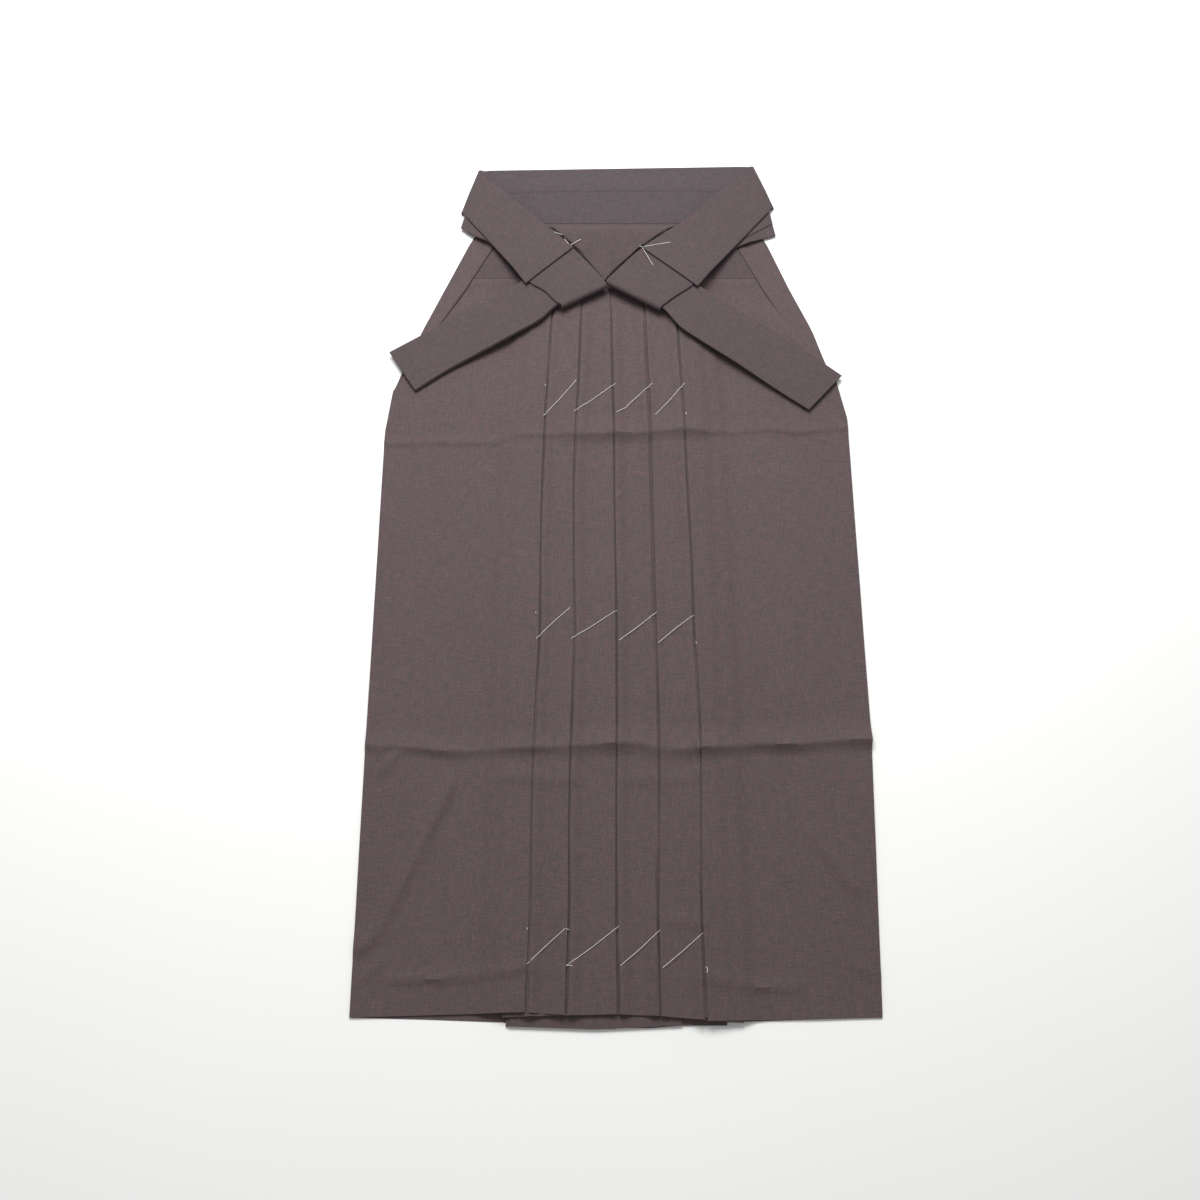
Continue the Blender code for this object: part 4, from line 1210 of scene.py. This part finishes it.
def shot_cloth(name, sizes, colours):
    """Matt shot cloth in one of its finishes, made once."""
    if name in bpy.data.materials:
        return bpy.data.materials[name]
    finish = FINISHES[name]
    warp, weft = ([part * dye for part, dye in zip(colour, finish.dye)] + [1.0]
                  for colour in (colours.warp, colours.weft))
    material, nodes, shader = new_material(name)
    place = nodes.add("ShaderNodeUVMap", {"uv_map": "cloth"}).outputs[0]
    group = bpy.data.node_groups.get("shot_weave") or shot_weave_group()
    weave = nodes.add("ShaderNodeGroup", {"node_tree": group}, {
        "Place": place, "Thread Spacing": sizes.weave, "Warp Colour": warp,
        "Weft Colour": weft, "Slub": finish.slub, "Mottle": finish.mottle,
        "Shade": finish.shade})
    bump = nodes.add("ShaderNodeBump", None, {"Strength": 0.5, "Distance": 0.00012,
                                              "Height": weave.outputs["Height"]})
    nodes.tree.links.new(weave.outputs["Color"], shader.inputs["Base Color"])
    nodes.tree.links.new(bump.outputs[0], shader.inputs["Normal"])
    shader.inputs["Roughness"].default_value = finish.roughness
    shader.inputs["Specular IOR Level"].default_value = 0.25
    shader.inputs["Sheen Weight"].default_value = finish.sheen
    shader.inputs["Sheen Roughness"].default_value = 0.5
    shader.inputs["Sheen Tint"].default_value = (0.90, 0.84, 0.86, 1.0)
    return material


def thread_material(name, colour):
    """Spun thread, twisted, with painted shade in the twist's grooves, made once."""
    if name in bpy.data.materials:
        return bpy.data.materials[name]
    material, nodes, shader = new_material(name)
    place = nodes.add("ShaderNodeTexCoord").outputs["Object"]
    twist = nodes.add("ShaderNodeTexWave", {"bands_direction": "DIAGONAL"},
                      {"Vector": place, "Scale": 900.0, "Distortion": 2.0}).outputs["Fac"]
    fuzz = nodes.noise(place, 2500.0)
    # painted shade: the colour darkens in the twist's grooves, besides its bump, and with
    # random fuzz
    tone = nodes.sum("MULTIPLY_ADD", nodes.times(twist, fuzz), 0.5, 0.8)
    bump = nodes.add("ShaderNodeBump", None, {"Strength": 0.4, "Distance": 0.0001,
                                              "Height": twist})
    nodes.tree.links.new(nodes.shaded(colour, tone), shader.inputs["Base Color"])
    nodes.tree.links.new(bump.outputs[0], shader.inputs["Normal"])
    shader.inputs["Roughness"].default_value = 0.7
    shader.inputs["Sheen Weight"].default_value = 0.3
    return material


# ---- operators ----------------------------------------------------------------------

def settings(context):
    """The sizes and colours of the garment."""
    return context.scene.hakama_sizes, context.scene.hakama_colours


class HAKAMA_OT_front(bpy.types.Operator):
    """Sew the left and right front, with their five pleats"""
    bl_idname = "hakama.front"
    bl_label = "Front panels"

    def execute(self, context):
        sizes, colours = settings(context)
        creases = crease_list(sizes)
        left = to_and_fro(LEFT_LAYERS, False) + [(CENTRE_LAYER, CENTRE_LAYER[0], "seam")]
        right = [(CENTRE_LAYER, "seam", CENTRE_LAYER[1])] + to_and_fro(RIGHT_LAYERS, True)
        shown = (LEFT_LAYERS[0], LEFT_LAYERS[2], LEFT_LAYERS[4], CENTRE_LAYER,
                 RIGHT_LAYERS[1], RIGHT_LAYERS[3])
        cloth = shot_cloth("panel_weave", sizes, colours)
        for side, path in (("left", left), ("right", right)):
            cloth_sheet("front_cloth_" + side, front_grid(sizes, creases, path, shown),
                        sizes.cloth, cloth, "front_panel_" + side)
        return {"FINISHED"}


class HAKAMA_OT_back(bpy.types.Operator):
    """Sew the two backs, with the inverted pleat between them, and the gussets"""
    bl_idname = "hakama.back"
    bl_label = "Back panels and gussets"

    def execute(self, context):
        sizes, colours = settings(context)
        cloth = shot_cloth("panel_weave", sizes, colours)
        for side, sign in (("left", -1.0), ("right", 1.0)):
            cloth_sheet("back_cloth_" + side, back_grid(sizes, side, sign), sizes.cloth, cloth,
                        "back_panel_" + side)
            cloth_sheet("gusset_cloth_" + side, gusset_grid(side, sign), sizes.cloth, cloth,
                        "gusset_" + side)
        return {"FINISHED"}


class HAKAMA_OT_waistbands(bpy.types.Operator):
    """Fold the front and the back waistband over the tops of the panels"""
    bl_idname = "hakama.waistbands"
    bl_label = "Waistbands"

    def execute(self, context):
        sizes, colours = settings(context)
        # The front waistband's cloth carries painted shade: it is darker where the crossing
        # ties shade it.
        cloth = shot_cloth("front_band_weave", sizes, colours)
        cloth_sheet("front_band", front_band_grid(), sizes.tie_cloth, cloth,
                    "front_waistband")
        cloth = shot_cloth("band_weave", sizes, colours)
        cloth_sheet("back_band", back_band_grid(), sizes.tie_cloth, cloth, "back_waistband")
        return {"FINISHED"}


class HAKAMA_OT_back_ties(bpy.types.Operator):
    """Lay the back ties over at the corners, in across the waist and round the front ties"""
    bl_idname = "hakama.back_ties"
    bl_label = "Back ties"

    def execute(self, context):
        sizes, colours = settings(context)
        cloth = shot_cloth("tie_weave", sizes, colours)
        for side, sign, band, corner in (("left", -1.0, LEFT_BAND, LEFT_CORNER),
                                         ("right", 1.0, RIGHT_BAND, RIGHT_CORNER)):
            points = plied(back_tie_rows(side, sign, band, corner), BACK_TIE_PLIES)
            cloth_sheet("back_tie_cloth_" + side, points, sizes.tie_cloth, cloth,
                        "back_tie_" + side)
            points = plied(wrap_rows(sign, band), WRAP_PLIES)
            cloth_sheet("wrap_cloth_" + side, points, sizes.tie_cloth, cloth,
                        "back_tie_wrap_" + side)
        return {"FINISHED"}


class HAKAMA_OT_front_ties(bpy.types.Operator):
    """Fold up the front ties under the back ties and draw out their tails"""
    bl_idname = "hakama.front_ties"
    bl_label = "Front ties"

    def execute(self, context):
        sizes, colours = settings(context)
        cloth = shot_cloth("tie_weave", sizes, colours)
        for side, stack, tail in (("left", LEFT_STACK, LEFT_TAIL),
                                  ("right", RIGHT_STACK, RIGHT_TAIL)):
            rows = smooth_rows(stack)
            cloth_sheet("stack_cloth_" + side,
                        plied(laid_rows(rows, STACK_PLIES), STACK_PLIES,
                              np.maximum(rows[:, 5], 0.0)),
                        sizes.tie_cloth, cloth, "front_tie_stack_" + side)
            cloth_sheet("tail_cloth_" + side,
                        plied(laid_rows(smooth_rows(tail), TAIL_PLIES), TAIL_PLIES),
                        sizes.tie_cloth, cloth, "front_tie_tail_" + side)
        return {"FINISHED"}


def stitched(creases, run, clear):
    """A thread's points, laid close over the front."""
    points = []
    for (ax, au), (bx, bu) in zip(run, run[1:]):
        count = steps(math.hypot(bx - ax, bu - au), THREAD_SPACING)
        for k in range(count + (1 if (bx, bu) == run[-1] else 0)):
            points.append((between(ax, bx, k / count), between(au, bu, k / count)))
    x, up = np.array(points).T
    z = front_top_z(creases, x, up) + clear
    taut = np.maximum.accumulate(z) if z[-1] > z[0] else np.maximum.accumulate(z[::-1])[::-1]
    return np.stack([x, up, between(z, taut, 0.6)], 1).tolist()


def hem_stitches(creases):
    """Runs of small blind stitches that hold up the front hems."""
    runs = []
    for line in HEM_STITCHES:
        x = np.arange(line[0][0], line[-1][0], HEM_STITCH)
        up = np.interp(x, [place[0] for place in line], [place[1] for place in line])
        z = front_top_z(creases, x, up)
        runs += [[(a - 0.0005, u, c - 0.0001), (a, u + 0.0001, c + 0.0002),
                  (a + 0.0005, u + 0.0002, c - 0.0001)] for a, u, c in zip(x, up, z)]
    return runs


class HAKAMA_OT_stitching(bpy.types.Operator):
    """Baste the pleats with white thread and tack the ties"""
    bl_idname = "hakama.stitching"
    bl_label = "Basting, tacks and stitches"

    def execute(self, context):
        sizes, colours = settings(context)
        creases = crease_list(sizes)
        basting = thread_material("basting_cotton", colours.basting[:])
        for name, runs in BASTING_ROWS.items():
            threads(name, [stitched(creases, run, sizes.thread * 0.3) for run in runs],
                    sizes.thread, basting)
        threads("hem_stitching", hem_stitches(creases), HEM_THREAD,
                thread_material("hem_cotton", colours.stitching[:]))
        for name, runs in TACKS.items():
            placed = [[(x, up, TACK_HEIGHT + rise) for x, up, rise in run] for run in runs]
            threads(name, placed, sizes.thread, basting)
        return {"FINISHED"}


class HAKAMA_OT_stage(bpy.types.Operator):
    """Set the pale floor, the soft light from beyond the waist and the camera"""
    bl_idname = "hakama.stage"
    bl_label = "Floor, lights and camera"

    def execute(self, context):
        colours = settings(context)[1]
        scene = context.scene
        mesh = bpy.data.meshes.new("floor")
        half = FLOOR_SIDE / 2
        mesh.from_pydata([(-half, -half, 0), (half, -half, 0), (half, half, 0),
                          (-half, half, 0)], [], [(0, 1, 2, 3)])
        floor = add_object("floor", mesh)
        material, nodes, shader = new_material("floor_paper")
        place = nodes.add("ShaderNodeTexCoord").outputs["Object"]
        grain = nodes.sum("MULTIPLY_ADD", nodes.noise(place, 3.0), 0.02, 0.99)
        nodes.tree.links.new(nodes.shaded(colours.floor[:], grain),
                             shader.inputs["Base Color"])
        shader.inputs["Roughness"].default_value = 0.9
        mesh.materials.append(material)

        world = bpy.data.worlds.new("studio")
        world.use_nodes = True
        scene.world = world
        backdrop = world.node_tree.nodes["Background"]
        backdrop.inputs["Color"].default_value = (1.0, 1.0, 1.0, 1.0)
        backdrop.inputs["Strength"].default_value = WORLD_STRENGTH

        light = bpy.data.lights.new("soft_key", "AREA")
        light.shape = "SQUARE"
        light.size = KEY_SIZE
        light.energy = KEY_POWER
        lamp = add_object("soft_key", light)
        lamp.location = KEY_PLACE
        lamp.rotation_euler = Vector(KEY_AIM).to_track_quat("-Z", "Y").to_euler()

        camera = bpy.data.cameras.new("camera")
        camera.sensor_fit = "HORIZONTAL"
        camera.sensor_width = 36.0
        camera.lens = LENS
        eye = add_object("camera", camera)
        eye.location = CAMERA_PLACE
        eye.rotation_euler = (math.radians(CAMERA_TILT), 0.0, 0.0)
        scene.camera = eye
        scene.view_settings.view_transform = "Standard"
        return {"FINISHED"}


class HAKAMA_PT_panel(bpy.types.Panel):
    """The garment's steps and settings in the sidebar"""
    bl_idname = "HAKAMA_PT_panel"
    bl_label = "Hakama Trousers"
    bl_space_type = "VIEW_3D"
    bl_region_type = "UI"
    bl_category = "Hakama"

    def draw(self, context):
        for step in STEPS:
            self.layout.operator(step.bl_idname)
        for group in settings(context):
            box = self.layout.box()
            for name in group.bl_rna.properties.keys():
                if name not in ("name", "rna_type"):
                    box.prop(group, name)


STEPS = (HAKAMA_OT_front, HAKAMA_OT_back, HAKAMA_OT_waistbands, HAKAMA_OT_front_ties,
         HAKAMA_OT_back_ties, HAKAMA_OT_stitching, HAKAMA_OT_stage)
CLASSES = (HakamaSizes, HakamaColours) + STEPS + (HAKAMA_PT_panel,)


def register():
    """Register the classes and the settings."""
    for each in CLASSES:
        bpy.utils.register_class(each)
    bpy.types.Scene.hakama_sizes = PointerProperty(type=HakamaSizes)
    bpy.types.Scene.hakama_colours = PointerProperty(type=HakamaColours)


def unregister():
    """Take them away again."""
    del bpy.types.Scene.hakama_colours
    del bpy.types.Scene.hakama_sizes
    for each in reversed(CLASSES):
        bpy.utils.unregister_class(each)


def main():
    """Make the garment and its stage."""
    register()
    bpy.ops.hakama.front()
    bpy.ops.hakama.back()
    bpy.ops.hakama.waistbands()
    bpy.ops.hakama.front_ties()
    bpy.ops.hakama.back_ties()
    bpy.ops.hakama.stitching()
    bpy.ops.hakama.stage()


if __name__ == "__main__":
    main()
